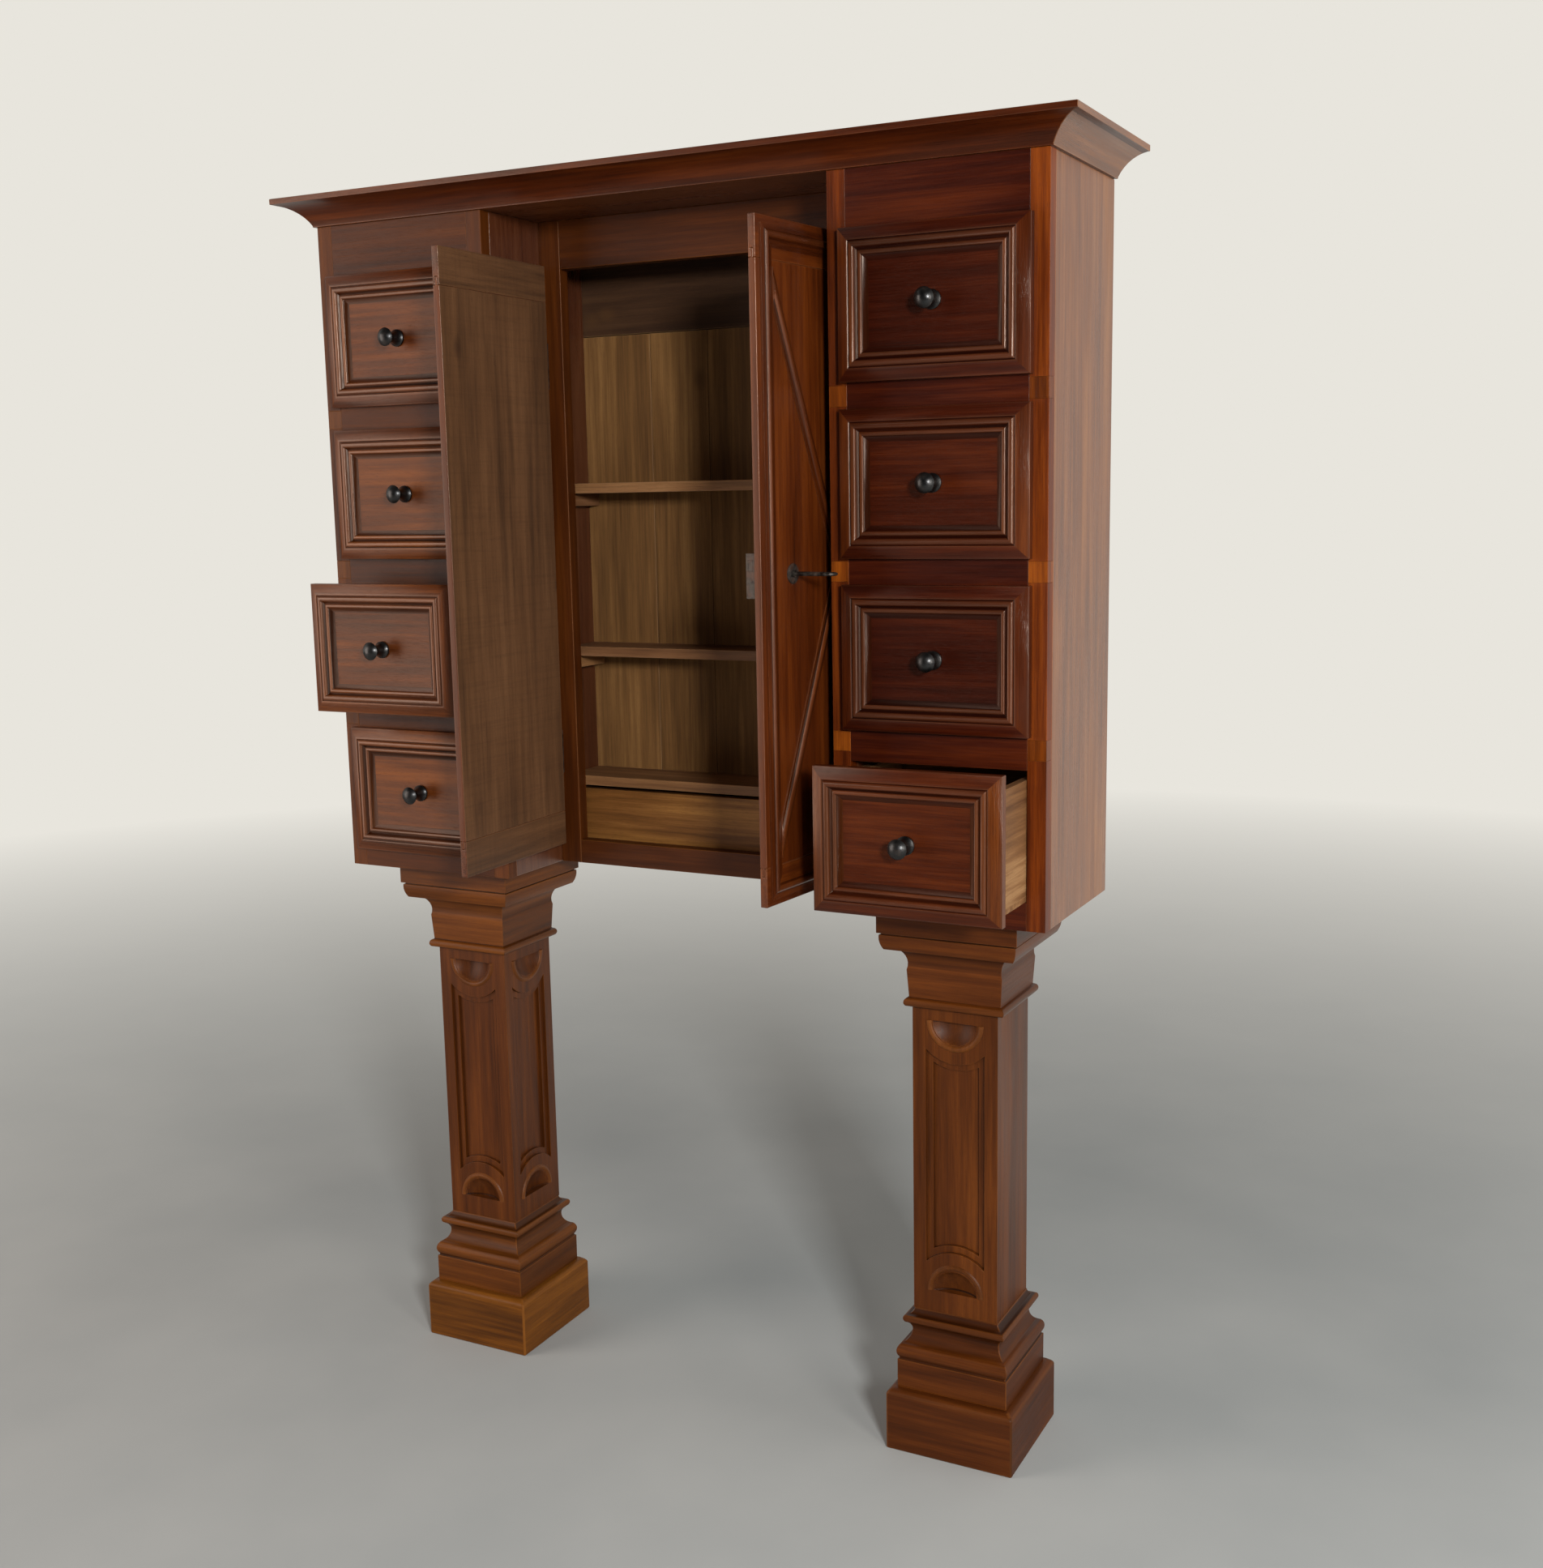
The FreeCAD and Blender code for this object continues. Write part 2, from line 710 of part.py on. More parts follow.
def key():
    """A ring bow, a collar and a shank through the door, with a bit in the lock's pocket."""
    face_y = door_front_y - escutcheon_thickness
    inner_end_y = door_back_y + lock_thickness - lock_wall - key_clearance
    bow_y = face_y - key_reach - key_bow_radius
    shank = Part.makeCylinder(key_shank_radius, inner_end_y - bow_y - key_bow_radius,
                              Vector(key_x, bow_y + key_bow_radius, key_z), Vector(0, 1, 0))
    collar = Part.makeCylinder(key_collar_radius, key_collar_thickness,
                               Vector(key_x, face_y - key_clearance - key_collar_thickness, key_z),
                               Vector(0, 1, 0))
    bow = Part.makeTorus(key_bow_radius, key_bow_wire_radius, Vector(key_x, bow_y, key_z),
                         Vector(0, 0, 1))
    bit = box(key_x, key_x + key_bit_length, door_back_y + lock_wall + key_clearance, inner_end_y,
              key_z - key_bit_thickness / 2, key_z + key_bit_thickness / 2)
    return [shank.fuse(collar).fuse(bow).fuse(bit).removeSplitter().Solids[0]]


def opened(solids, hinge_x, degrees):
    for solid in solids:
        solid.rotate(Vector(hinge_x, hinge_axis_y, 0), Vector(0, 0, 1), degrees)
    return solids


# Pillars, made on the right and mirrored for the left

def square_block(start, segments, place):
    """The same upright profile run along X and along Y, so that its mouldings meet in mitres."""
    edges, end = outline_edges(start, segments, place)
    other = [edge.mirror(Vector(0, 0, 0), Vector(1, 0, 0)) for edge in edges]
    for point in (place(*start), end):
        across = Vector(-point.x, point.y, point.z)
        edges.append(Part.LineSegment(point, across).toShape())
    ring = Part.Wire(Part.__sortEdges__(edges + other))
    reach = max(vertex.X for vertex in ring.Vertexes) + overrun
    profile = Part.Face(ring)
    profile.translate(Vector(0, -reach, 0))
    along_y = profile.extrude(Vector(0, 2 * reach, 0))
    along_x = along_y.copy()
    along_x.rotate(Vector(0, 0, 0), Vector(0, 0, 1), 90)
    return along_y.common(along_x).Solids[0]


def pillar_plinth():
    half = plinth_width / 2
    segments = [
        ((half, plinth_height - plinth_bevel_height),),
        ((half - plinth_bevel_width, plinth_height),),
    ]
    return [square_block((half, 0), segments, lambda x, z: Vector(x, 0, z))]


def pillar_base():
    def place(share, rise):
        return Vector(shaft_half + share * (base_width / 2 - shaft_half), 0,
                      base_z + rise * base_height)
    return [square_block((base_foot_share, 0), base_shares, place)]


def pillar_capital():
    def place(share, rise):
        return Vector(shaft_half + share * (capital_width / 2 - shaft_half), 0,
                      capital_z + rise * capital_height)
    return [square_block((0, 0), capital_shares, place)]


def panel_cut(half, radius, depth):
    """A sunken panel on the plane Y 0, with ends hollowed round the two lunettes."""
    low = lunette_foot_distance
    high = shaft_height - lunette_top_distance
    rise = math.sqrt(radius ** 2 - half ** 2)
    segments = [
        ((half, high - rise),),
        ((0, high - radius), (-half, high - rise)),
        ((-half, low + rise),),
        ((0, low + radius), (half, low + rise)),
    ]
    edges, end = outline_edges((half, low + rise), segments, lambda x, z: Vector(x, -overrun, z))
    return Part.Face(Part.Wire(edges)).extrude(Vector(0, depth + overrun, 0))


def lunette(middle_z, up):
    """A scooped half-round hollow and the raised half ring round it, as two solids."""
    ball_radius = (lunette_radius ** 2 + lunette_depth ** 2) / (2 * lunette_depth)
    ball = Part.makeSphere(ball_radius, Vector(0, lunette_depth - ball_radius, middle_z))
    reach = lunette_radius + overrun
    low, high = (middle_z, middle_z + reach) if up else (middle_z - reach, middle_z)
    scoop = ball.common(box(-reach, reach, -overrun, lunette_depth + overrun, low, high))
    ring_radius = lunette_radius + lunette_bead_gap + lunette_bead_radius
    circle = Part.Circle(Vector(ring_radius, lunette_bead_sink, middle_z), Vector(0, 0, 1),
                         lunette_bead_radius)
    disc = Part.Face(Part.Wire(circle.toShape()))
    turn = -180 if up else 180
    bead = disc.revolve(Vector(0, 0, middle_z), Vector(0, 1, 0), turn)
    return scoop, bead


def pillar_shaft():
    """A square shaft whose front and inner faces carry a panel and two lunettes."""
    inner_half = panel_outer_half_width - panel_border_width
    inner_radius = panel_end_radius + panel_border_width
    scoops = [panel_cut(panel_outer_half_width, panel_end_radius, panel_step_depth),
              panel_cut(inner_half, inner_radius, 2 * panel_step_depth)]
    beads = []
    for middle_z, up in ((lunette_foot_distance, True),
                         (shaft_height - lunette_top_distance, False)):
        scoop, bead = lunette(middle_z, up)
        scoops.append(scoop)
        beads.append(bead)
    shaft = box(-shaft_half, shaft_half, -shaft_half, shaft_half, 0, shaft_height)
    for degrees in (0, -90):
        for tool, keep in [(scoop, False) for scoop in scoops] + [(bead, True) for bead in beads]:
            placed = tool.copy()
            placed.translate(Vector(0, -shaft_half, 0))
            placed.rotate(Vector(0, 0, 0), Vector(0, 0, 1), degrees)
            shaft = shaft.fuse(placed) if keep else shaft.cut(placed)
    shaft = shaft.removeSplitter().Solids[0]
    shaft.translate(Vector(0, 0, shaft_z))
    return [shaft]


# Every node by name, in the work frame: Y 0 at the bank fronts, Z 0 at the floor

nodes = {}

right_sides = bank_sides()
nodes["right_bank_sides"] = right_sides
nodes["left_bank_sides"] = mirrored(right_sides)
right_frame = face_frame()
nodes["right_face_frame"] = right_frame
nodes["left_face_frame"] = mirrored(right_frame)
nodes["drawer_runners"] = drawer_runners()
nodes["case_top"] = [box(-half_case, half_case, 0, case_depth, case_top_z,
                         case_top_z + top_thickness)]
nodes["case_bottoms"] = case_bottoms()
nodes["cupboard_frame"] = cupboard_frame()
nodes["cupboard_shelves"] = cupboard_shelves()
nodes["shelf_cleats"] = shelf_cleats()
nodes["inner_apron"] = inner_apron()
nodes["back_boards"] = back_boards()
nodes["cornice"] = cornice()

for side, sign, drawers_out in (("left", -1, left_drawers_out), ("right", 1, right_drawers_out)):
    for number in range(drawers_per_bank):
        place = Vector(sign * bank_centre_x, -drawers_out[number],
                       opening_bottom_z(number) + drawer_clearance)
        stem = side + "_drawer_" + str(number + 1)
        nodes[stem + "_front"] = moved(drawer_front(), place)
        nodes[stem + "_box"] = moved(drawer_box(), place)
        nodes[stem + "_knob"] = moved(drawer_knob(), place)

right_leaves = hinge_case_leaves()
nodes["right_hinge_case_leaves"] = right_leaves
nodes["left_hinge_case_leaves"] = mirrored(right_leaves)
right_pins = hinge_pins()
nodes["right_hinge_pins"] = right_pins
nodes["left_hinge_pins"] = mirrored(right_pins)

right_door = {
    "right_door_boards": door_boards(True),
    "right_door_mouldings": door_mouldings(),
    "right_hinge_door_leaves": hinge_door_leaves(),
    "escutcheon": escutcheon(),
    "lock_case": lock_case(),
    "lock_bolt": lock_bolt(),
    "key": key(),
}
for name, solids in right_door.items():
    nodes[name] = opened(solids, hinge_axis_x, right_door_open_degrees)
left_door = {
    "left_door_boards": door_boards(False),
    "left_door_mouldings": door_mouldings(),
    "left_hinge_door_leaves": hinge_door_leaves(),
}
for name, solids in left_door.items():
    nodes[name] = opened(mirrored(solids), -hinge_axis_x, -left_door_open_degrees)

for name, solids in (("plinth", pillar_plinth()), ("base", pillar_base()),
                     ("shaft", pillar_shaft()), ("capital", pillar_capital())):
    placed = moved(solids, Vector(pillar_x, pillar_y, 0))
    nodes["right_pillar_" + name] = placed
    nodes["left_pillar_" + name] = mirrored(placed)

# The origin goes to the middle of the floor area that the object takes up at rest
front_reach = min(solid.BoundBox.YMin for solids in nodes.values() for solid in solids)
centre_y = (front_reach + case_depth) / 2

os.makedirs("parts", exist_ok=True)
for name, solids in nodes.items():
    shape = Part.makeCompound(moved(solids, Vector(0, -centre_y, 0)))
    shape.exportStep("parts/" + name + ".step")
print(len(nodes), "nodes, centre_y", round(centre_y, 3))
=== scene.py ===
# %% [markdown]
# # A cabinet on two square pillars
# The cabinet is a joiner's piece: two banks of lipped drawers stand either side of a shelved cupboard,
# under one moulded cornice, and each bank rests on a panelled pillar. The frame that is loaded here holds
# every piece at its right size and place, as plain solids. The scene dresses them: it rebuilds the wooden
# pieces board by board, so that each has soft edges, its own grain and its own tone.

# %% Load the frame
import json
import math
import random

import bmesh
import bpy
from mathutils import Matrix, Vector


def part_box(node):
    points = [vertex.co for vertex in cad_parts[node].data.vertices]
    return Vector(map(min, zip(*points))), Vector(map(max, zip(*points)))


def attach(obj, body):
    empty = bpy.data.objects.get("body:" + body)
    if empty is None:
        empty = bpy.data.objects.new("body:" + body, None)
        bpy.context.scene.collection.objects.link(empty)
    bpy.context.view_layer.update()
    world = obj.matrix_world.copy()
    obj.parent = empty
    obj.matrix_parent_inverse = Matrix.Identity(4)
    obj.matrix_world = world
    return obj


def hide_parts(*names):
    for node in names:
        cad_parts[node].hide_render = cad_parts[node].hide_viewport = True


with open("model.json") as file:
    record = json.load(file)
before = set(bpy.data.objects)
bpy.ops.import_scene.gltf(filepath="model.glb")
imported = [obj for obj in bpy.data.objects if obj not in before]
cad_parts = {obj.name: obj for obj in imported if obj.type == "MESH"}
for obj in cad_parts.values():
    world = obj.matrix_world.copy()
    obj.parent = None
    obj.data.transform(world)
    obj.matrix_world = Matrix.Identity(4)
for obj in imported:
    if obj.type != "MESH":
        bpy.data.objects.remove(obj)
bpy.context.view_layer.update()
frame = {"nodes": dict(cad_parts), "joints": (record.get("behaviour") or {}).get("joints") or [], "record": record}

# %% [markdown]
# ## Working with the selection
# Blender's operators act on whatever is selected, and the loaded frame is still selected. So every step
# first clears the selection and then takes hold of one piece, as a click in the viewport would. The meshes
# could also be written point by point, but operators keep each step as it would be done by hand.

# %% Take hold of one piece


def clear_selection():
    if bpy.context.mode != "OBJECT":
        bpy.ops.object.mode_set(mode="OBJECT")
    bpy.ops.object.select_all(action="DESELECT")


def take(piece):
    clear_selection()
    piece.select_set(True)
    bpy.context.view_layer.objects.active = piece


def settle(piece):
    """Puts a piece's place into its mesh and leaves its object at the origin."""
    take(piece)
    bpy.ops.object.transform_apply(location=True, rotation=True, scale=True)
    return piece


def put(piece, place):
    """Moves a piece by a matrix and puts the move into its mesh."""
    piece.matrix_world = place
    return settle(piece)


def edit_all(piece):
    """Goes into edit mode with the whole piece selected."""
    take(piece)
    bpy.ops.object.mode_set(mode="EDIT")
    bpy.ops.mesh.select_all(action="SELECT")


def pick_faces(piece, wanted):
    """Goes into edit mode with only the wanted faces selected."""
    take(piece)
    bpy.ops.object.mode_set(mode="EDIT")
    bpy.ops.mesh.select_mode(type="FACE")
    bpy.ops.mesh.select_all(action="DESELECT")
    bpy.ops.object.mode_set(mode="OBJECT")
    for face in piece.data.polygons:
        face.select = wanted(face)
    bpy.ops.object.mode_set(mode="EDIT")


clear_selection()
print("selected:", len(bpy.context.selected_objects))

# %% [markdown]
# ## Boards
# Most of the case is plain boards. Each starts as a cube primitive at the board's size and place, and all
# the boards of one node go into one mesh. One large block with grooves would be quicker, but separate
# boards leave true seams where the joiner left them. A Bevel modifier then softens the edges, as a plane
# and a century of dusting do, and a Weighted Normal modifier keeps the broad faces flat in the light.

# %% Blocks and soft edges
edge_angle = math.radians(50)


def span(x0, x1, y0, y1, z0, z1):
    return Vector((x0, y0, z0)), Vector((x1, y1, z1))


def other_side(spans):
    """The same boards on the left of the middle."""
    return [(Vector((-high.x, low.y, low.z)), Vector((-low.x, high.y, high.z))) for low, high in spans]


def add_boards(spans):
    """One mesh with a sharp-edged block for each board."""
    clear_selection()
    for number, (low, high) in enumerate(spans):
        bpy.ops.mesh.primitive_cube_add(size=1, location=(low + high) / 2, scale=high - low)
        if number == 0:
            piece = settle(bpy.context.object)
            bpy.ops.object.mode_set(mode="EDIT")
    bpy.ops.object.mode_set(mode="OBJECT")
    return piece


def soften(piece, width, segments=2, crease=edge_angle):
    """Rounds the sharp edges and keeps the broad faces flat."""
    take(piece)
    rounding = piece.modifiers.new("rounding", "BEVEL")
    rounding.width = width
    rounding.segments = segments
    rounding.limit_method = "ANGLE"
    rounding.angle_limit = edge_angle
    bpy.ops.object.modifier_apply(modifier=rounding.name)
    bpy.ops.object.shade_smooth_by_angle(angle=crease)
    flattening = piece.modifiers.new("flattening", "WEIGHTED_NORMAL")
    flattening.keep_sharp = True
    bpy.ops.object.modifier_apply(modifier=flattening.name)
    return piece


print("edges sharper than", round(math.degrees(edge_angle)), "degrees are rounded")

# %% [markdown]
# ## Grain that follows each board
# A wood pattern looks wrong when it runs through a whole cabinet as through one block. So the mesh carries
# its own grain: a vector on every face corner that says how far the point lies along, across and into its
# board, with a jump from board to board so that no two show the same figure. The direction comes from the
# longest edge, because a joiner cuts the grain along the length. First the faces are sorted into boards:
# loose boards part by themselves, and in a mitred piece each face goes with those of its direction.

# %% Find the boards of a mesh
length_digits = 5
area_digits = 7


def loose_boards(bm):
    """The faces of each board, where no board is joined to another."""
    seen = set()
    boards = []
    for first in bm.faces:
        if first in seen:
            continue
        board = [first]
        seen.add(first)
        # the list grows while it is walked, until no neighbour is left
        for face in board:
            for edge in face.edges:
                for neighbour in edge.link_faces:
                    if neighbour not in seen:
                        seen.add(neighbour)
                        board.append(neighbour)
        boards.append(board)
    return boards


def faces_by_direction(bm):
    """In a mitred piece, the faces whose longest edge runs the same way."""
    groups = {}
    for face in bm.faces:
        longest = max(face.edges, key=lambda edge: edge.calc_length())
        along = longest.verts[1].co - longest.verts[0].co
        axis = max(range(3), key=lambda index: abs(along[index]))
        groups.setdefault(axis, []).append(face)
    return list(groups.values())


def board_axes(group):
    """Along the longest edge, and into the broadest face. Of equals the first is taken."""
    edges = [edge for face in group for edge in face.edges]
    longest = max(edges, key=lambda edge: round(edge.calc_length(), length_digits))
    along = (longest.verts[1].co - longest.verts[0].co).normalized()
    if max(along, key=abs) < 0:
        along.negate()
    broad = max(group, key=lambda face: round(face.calc_area(), area_digits))
    depth = (broad.normal - along * along.dot(broad.normal)).normalized()
    return along, depth.cross(along), depth


print("lengths are compared to", 10 ** (3 - length_digits), "mm")

# %% [markdown]
# ## Tone, wear and painted light
# Two more attributes go onto the mesh. One is the tone, so that a board can be paler or darker than its
# neighbour; some tones also paint light or shade, as is said where they are set. The other says how ridged
# or hollow each face is, because hands rub the ridges pale and old polish gathers in the hollows; the paler
# ridges also stand for painted highlights, and the darker hollows for painted shade. Both could be painted by
# hand, but the shape already knows where they are.

# %% Write grain, tone and ridges onto a mesh
seed_reach = 40.0
full_curvature = 260.0
smallest_area = 1e-9
lowest_tone = 0.3
highest_tone = 0.7


def curvature(face):
    """Positive on ridges and negative in hollows, one over the radius in metres."""
    bend = sum(edge.calc_face_angle_signed(0) * edge.calc_length() for edge in face.edges)
    return bend / max(2 * face.calc_area(), smallest_area)


def mark_wood(piece, mitred=False, tone_of=None):
    """Writes the attributes that the wood materials read."""
    chance = random.Random(piece.name)
    mesh = piece.data
    bm = bmesh.new()
    bm.from_mesh(mesh)
    grain = bm.loops.layers.float_vector.new("grain")
    tone = bm.faces.layers.float.new("tone")
    ridge = bm.faces.layers.float.new("ridge")
    for group in faces_by_direction(bm) if mitred else loose_boards(bm):
        along, across, depth = board_axes(group)
        start = Vector([chance.uniform(-seed_reach, seed_reach) for _ in range(3)])
        own_tone = tone_of(along, group) if tone_of else chance.uniform(lowest_tone, highest_tone)
        for face in group:
            face[tone] = own_tone
            face[ridge] = max(-1, min(1, curvature(face) / full_curvature))
            for loop in face.loops:
                point = loop.vert.co
                loop[grain] = start + Vector((point.dot(along), point.dot(across), point.dot(depth)))
    bm.to_mesh(mesh)
    bm.free()
    return piece


def one_tone(value):
    """A tone for mark_wood that's the same on every board of a piece."""
    return lambda along, group: value


print("a ridge of radius", round(1000 / full_curvature, 1), "mm counts as fully worn")

# %% [markdown]
# ## Materials from nodes
# Colours are written as they look on a screen, from 0 to 255, and turned into the light values that
# Blender works with. A material could be wired up node by node, but a few short helpers keep the trees
# readable: one adds a node and plugs in its sockets, and the others make a ramp, a range, a blend of two
# colours, or noise that is stretched along the grain.

# %% Colours and single nodes


def paint(red, green, blue):
    """A screen colour as linear light."""
    def linear(value):
        share = value / 255
        return share / 12.92 if share <= 0.04045 else ((share + 0.055) / 1.055) ** 2.4
    return (linear(red), linear(green), linear(blue), 1)


def new_material(name):
    material = bpy.data.materials.new(name)
    material.use_nodes = True
    surface = material.node_tree.nodes["Principled BSDF"]
    return material, material.node_tree, surface


def add_node(tree, kind, sockets, **settings):
    node = tree.nodes.new("ShaderNode" + kind)
    for name, value in settings.items():
        setattr(node, name, value)
    for socket, value in sockets.items():
        if isinstance(value, bpy.types.NodeSocket):
            tree.links.new(value, node.inputs[socket])
        else:
            node.inputs[socket].default_value = value
    return node


print("dark walnut as light:", [round(value, 4) for value in paint(40, 11, 3)[:3]])

# %% Ramps, ranges, blends and noise


def add_ramp(tree, factor, stops):
    ramp = add_node(tree, "ValToRGB", {"Fac": factor})
    elements = ramp.color_ramp.elements
    while len(elements) < len(stops):
        elements.new(1)
    for element, (position, colour) in zip(elements, stops):
        element.position = position
        element.color = colour
    return ramp.outputs["Color"]


def add_range(tree, value, low, high, new_low, new_high):
    sockets = {"Value": value, "From Min": low, "From Max": high, "To Min": new_low, "To Max": new_high}
    return add_node(tree, "MapRange", sockets).outputs["Result"]


def add_math(tree, operation, first, second):
    return add_node(tree, "Math", {0: first, 1: second}, operation=operation).outputs["Value"]


def add_blend(tree, factor, first, second):
    mix = add_node(tree, "Mix", {0: factor, 6: first, 7: second}, data_type="RGBA")
    return mix.outputs[2]


def add_noise(tree, vector, scale, detail, distortion=0.0):
    """Noise stretched by three scales, in waves per metre."""
    mapped = add_node(tree, "Mapping", {"Vector": vector, "Scale": scale}).outputs["Vector"]
    sockets = {"Vector": mapped, "Scale": 1.0, "Detail": detail, "Distortion": distortion}
    return add_node(tree, "TexNoise", sockets).outputs["Fac"]


print("materials so far:", len(bpy.data.materials))

# %% [markdown]
# ## Wood
# One recipe serves every wood on the cabinet. Slow noise stretched along the grain gives the broad figure,
# finer noise gives streaks and fibres, and a last one gives the pores. A picture of wood could be wrapped
# on, but it would repeat, and noise never does. A ramp turns the mix into dark, middle and light wood, and
# the board's own tone then makes all of it paler or darker.

# %% Figure and colour
pore_waves = 1900


def read_mesh(tree, name, output):
    """An attribute that was written onto the mesh."""
    return add_node(tree, "Attribute", {}, attribute_name=name).outputs[output]


def wood_noise(tree, grain, figure):
    """Noises by their waves per metre along, across and into the board."""
    cloud = add_noise(tree, grain, (1.7, 7 * figure, 7 * figure), 3, 0.5)
    flame = add_noise(tree, grain, (2.6, 24 * figure, 24 * figure), 5, 0.9)
    streak = add_noise(tree, grain, (4, 120, 120), 4)
    fibre = add_noise(tree, grain, (18, 620, 620), 2)
    pore = add_noise(tree, grain, (80, pore_waves, pore_waves), 1)
    return {
        "cloud": cloud,
        "fibre": fibre,
        "broad": add_math(tree, "ADD", cloud, flame),
        "fine": add_math(tree, "ADD", streak, add_math(tree, "MULTIPLY", fibre, 0.5)),
        "pores": add_range(tree, pore, 0.60, 0.72, 0, 0.45),
    }


def fresh_colour(tree, noise, dark, middle, light):
    """The colour of new wood at the board's tone, with dark pores."""
    tone = read_mesh(tree, "tone", "Fac")
    pattern = add_math(tree, "ADD", noise["broad"], noise["fine"])
    colour = add_ramp(tree, add_range(tree, pattern, 1.30, 2.20, 0, 1),
                      [(0.0, dark), (0.5, middle), (1.0, light)])
    toned = add_node(tree, "HueSaturation", {
        "Color": colour,
        "Hue": add_range(tree, tone, 0, 1, 0.488, 0.512),
        "Value": add_range(tree, tone, 0, 1, 0.25, 1.65)}).outputs["Color"]
    return add_blend(tree, noise["pores"], toned, dark)


print("pores lie about", round(1000 / pore_waves, 2), "mm apart")

# %% [markdown]
# ## Knots, saw marks, age, painted highlights and shade
# Cheaper boards have knots, and a face that was never planed smooth shows the saw. Then comes use: ridges
# are rubbed paler and hollows keep dark polish, both in patches, because no hand rubs evenly. The paler ridges
# also paint the highlights that light puts on them, and the darker hollows also paint the shade in them. One flat
# darkening over everything would be simpler, but it would hide the mouldings that it should bring out.

# %% Marks, age, painted highlights and shade
# share of the dark wood's light kept in hollows, which paints shade there as well as old polish
hollow_dirt_and_shade_share = 0.3


def add_marks(tree, grain, colour, dark, knots, saw_marks):
    """Knots and saw marks, each with its share of dark wood."""
    if knots:
        spread = add_node(tree, "Mapping", {"Vector": grain, "Scale": (7, 11, 11)}).outputs["Vector"]
        cell = add_node(tree, "TexVoronoi", {"Vector": spread, "Scale": 1.0, "Randomness": 1.0})
        spot = add_range(tree, cell.outputs["Distance"], 0.05, 0.16, knots, 0)
        colour = add_blend(tree, spot, colour, dark)
    if saw_marks:
        marks = add_noise(tree, grain, (150, 5, 5), 3, 1.2)
        colour = add_blend(tree, add_range(tree, marks, 0.48, 0.70, 0, saw_marks), colour, dark)
    return colour


def add_age(tree, noise, ridge, colour, dark, worn_and_highlit, ridge_wear_and_highlight):
    """Ridges paled as rubbed wear and a painted highlight, and hollows darkened as old polish and painted shade.
    """
    patchy = add_range(tree, noise["cloud"], 0.35, 0.65, 0.4, 1)
    # ridges are paled both as rubbed wear and as a painted highlight
    rubbed_and_highlit = add_math(tree, "MULTIPLY", add_range(tree, ridge, 0.2, 1, 0, ridge_wear_and_highlight), patchy)
    colour = add_blend(tree, rubbed_and_highlit, colour, worn_and_highlit)
    # hollows are darkened both as old polish and as painted shade
    dirt_and_shade = add_math(tree, "MULTIPLY", add_range(tree, ridge, -0.03, -0.35, 0, 0.95), patchy)
    polish_and_shade_dark = [channel * hollow_dirt_and_shade_share for channel in dark[:3]] + [1]
    return add_blend(tree, dirt_and_shade, colour, polish_and_shade_dark)


print("hollows keep", hollow_dirt_and_shade_share, "of the dark wood's light")

# %% [markdown]
# ## Gloss and relief
# The gloss wanders a little, so that a window shines on the surface as on old shellac and not as on plastic.
# On burnished wood the ridges shine more than the rest, and amber varnish tints what they mirror. Fibres
# stand a little proud, and pores sink in.

# %% The wood recipe
grain_relief = 0.0006
amber_varnish = paint(255, 232, 214)


def wood(name, dark, middle, light, worn_and_highlit, rough, shine, figure=1.0, knots=0.0, ridge_wear_and_highlight=0.3, saw_marks=0.0,
         burnish=1.0):
    """A wood from four colours. Burnish is a gain of shine on the ridges."""
    material, tree, surface = new_material(name)
    grain = read_mesh(tree, "grain", "Vector")
    ridge = read_mesh(tree, "ridge", "Fac")
    noise = wood_noise(tree, grain, figure)
    colour = fresh_colour(tree, noise, dark, middle, light)
    colour = add_marks(tree, grain, colour, dark, knots, saw_marks)
    colour = add_age(tree, noise, ridge, colour, dark, worn_and_highlit, ridge_wear_and_highlight)
    tree.links.new(colour, surface.inputs["Base Color"])

    gloss = add_math(tree, "ADD", add_range(tree, noise["cloud"], 0.3, 0.7, rough - 0.06, rough + 0.06),
                     add_range(tree, noise["fibre"], 0.3, 0.7, -0.04, 0.04))
    tree.links.new(gloss, surface.inputs["Roughness"])
    surface.inputs["Specular IOR Level"].default_value = shine
    if burnish > 1:
        surface.inputs["Specular Tint"].default_value = amber_varnish
        polish = add_range(tree, ridge, 0.02, 0.4, shine, burnish * shine)
        tree.links.new(polish, surface.inputs["Specular IOR Level"])
    height = add_math(tree, "SUBTRACT", add_math(tree, "MULTIPLY", noise["fine"], 0.5), noise["pores"])
    bump = add_node(tree, "Bump", {"Height": height, "Strength": 0.22, "Distance": grain_relief})
    tree.links.new(bump.outputs["Normal"], surface.inputs["Normal"])
    return material


print("the grain stands", 1000 * grain_relief, "mm proud")

# %% [markdown]
# ## The cabinet's woods
# The maker used dark walnut where it shows and pine where it doesn't. Light and hands have changed each in
# its own way: the sides have faded, the fronts are deep red under amber varnish, the doors' inner faces
# were never polished, and the pillars are dull brown. So there are nine finishes, all from one recipe.

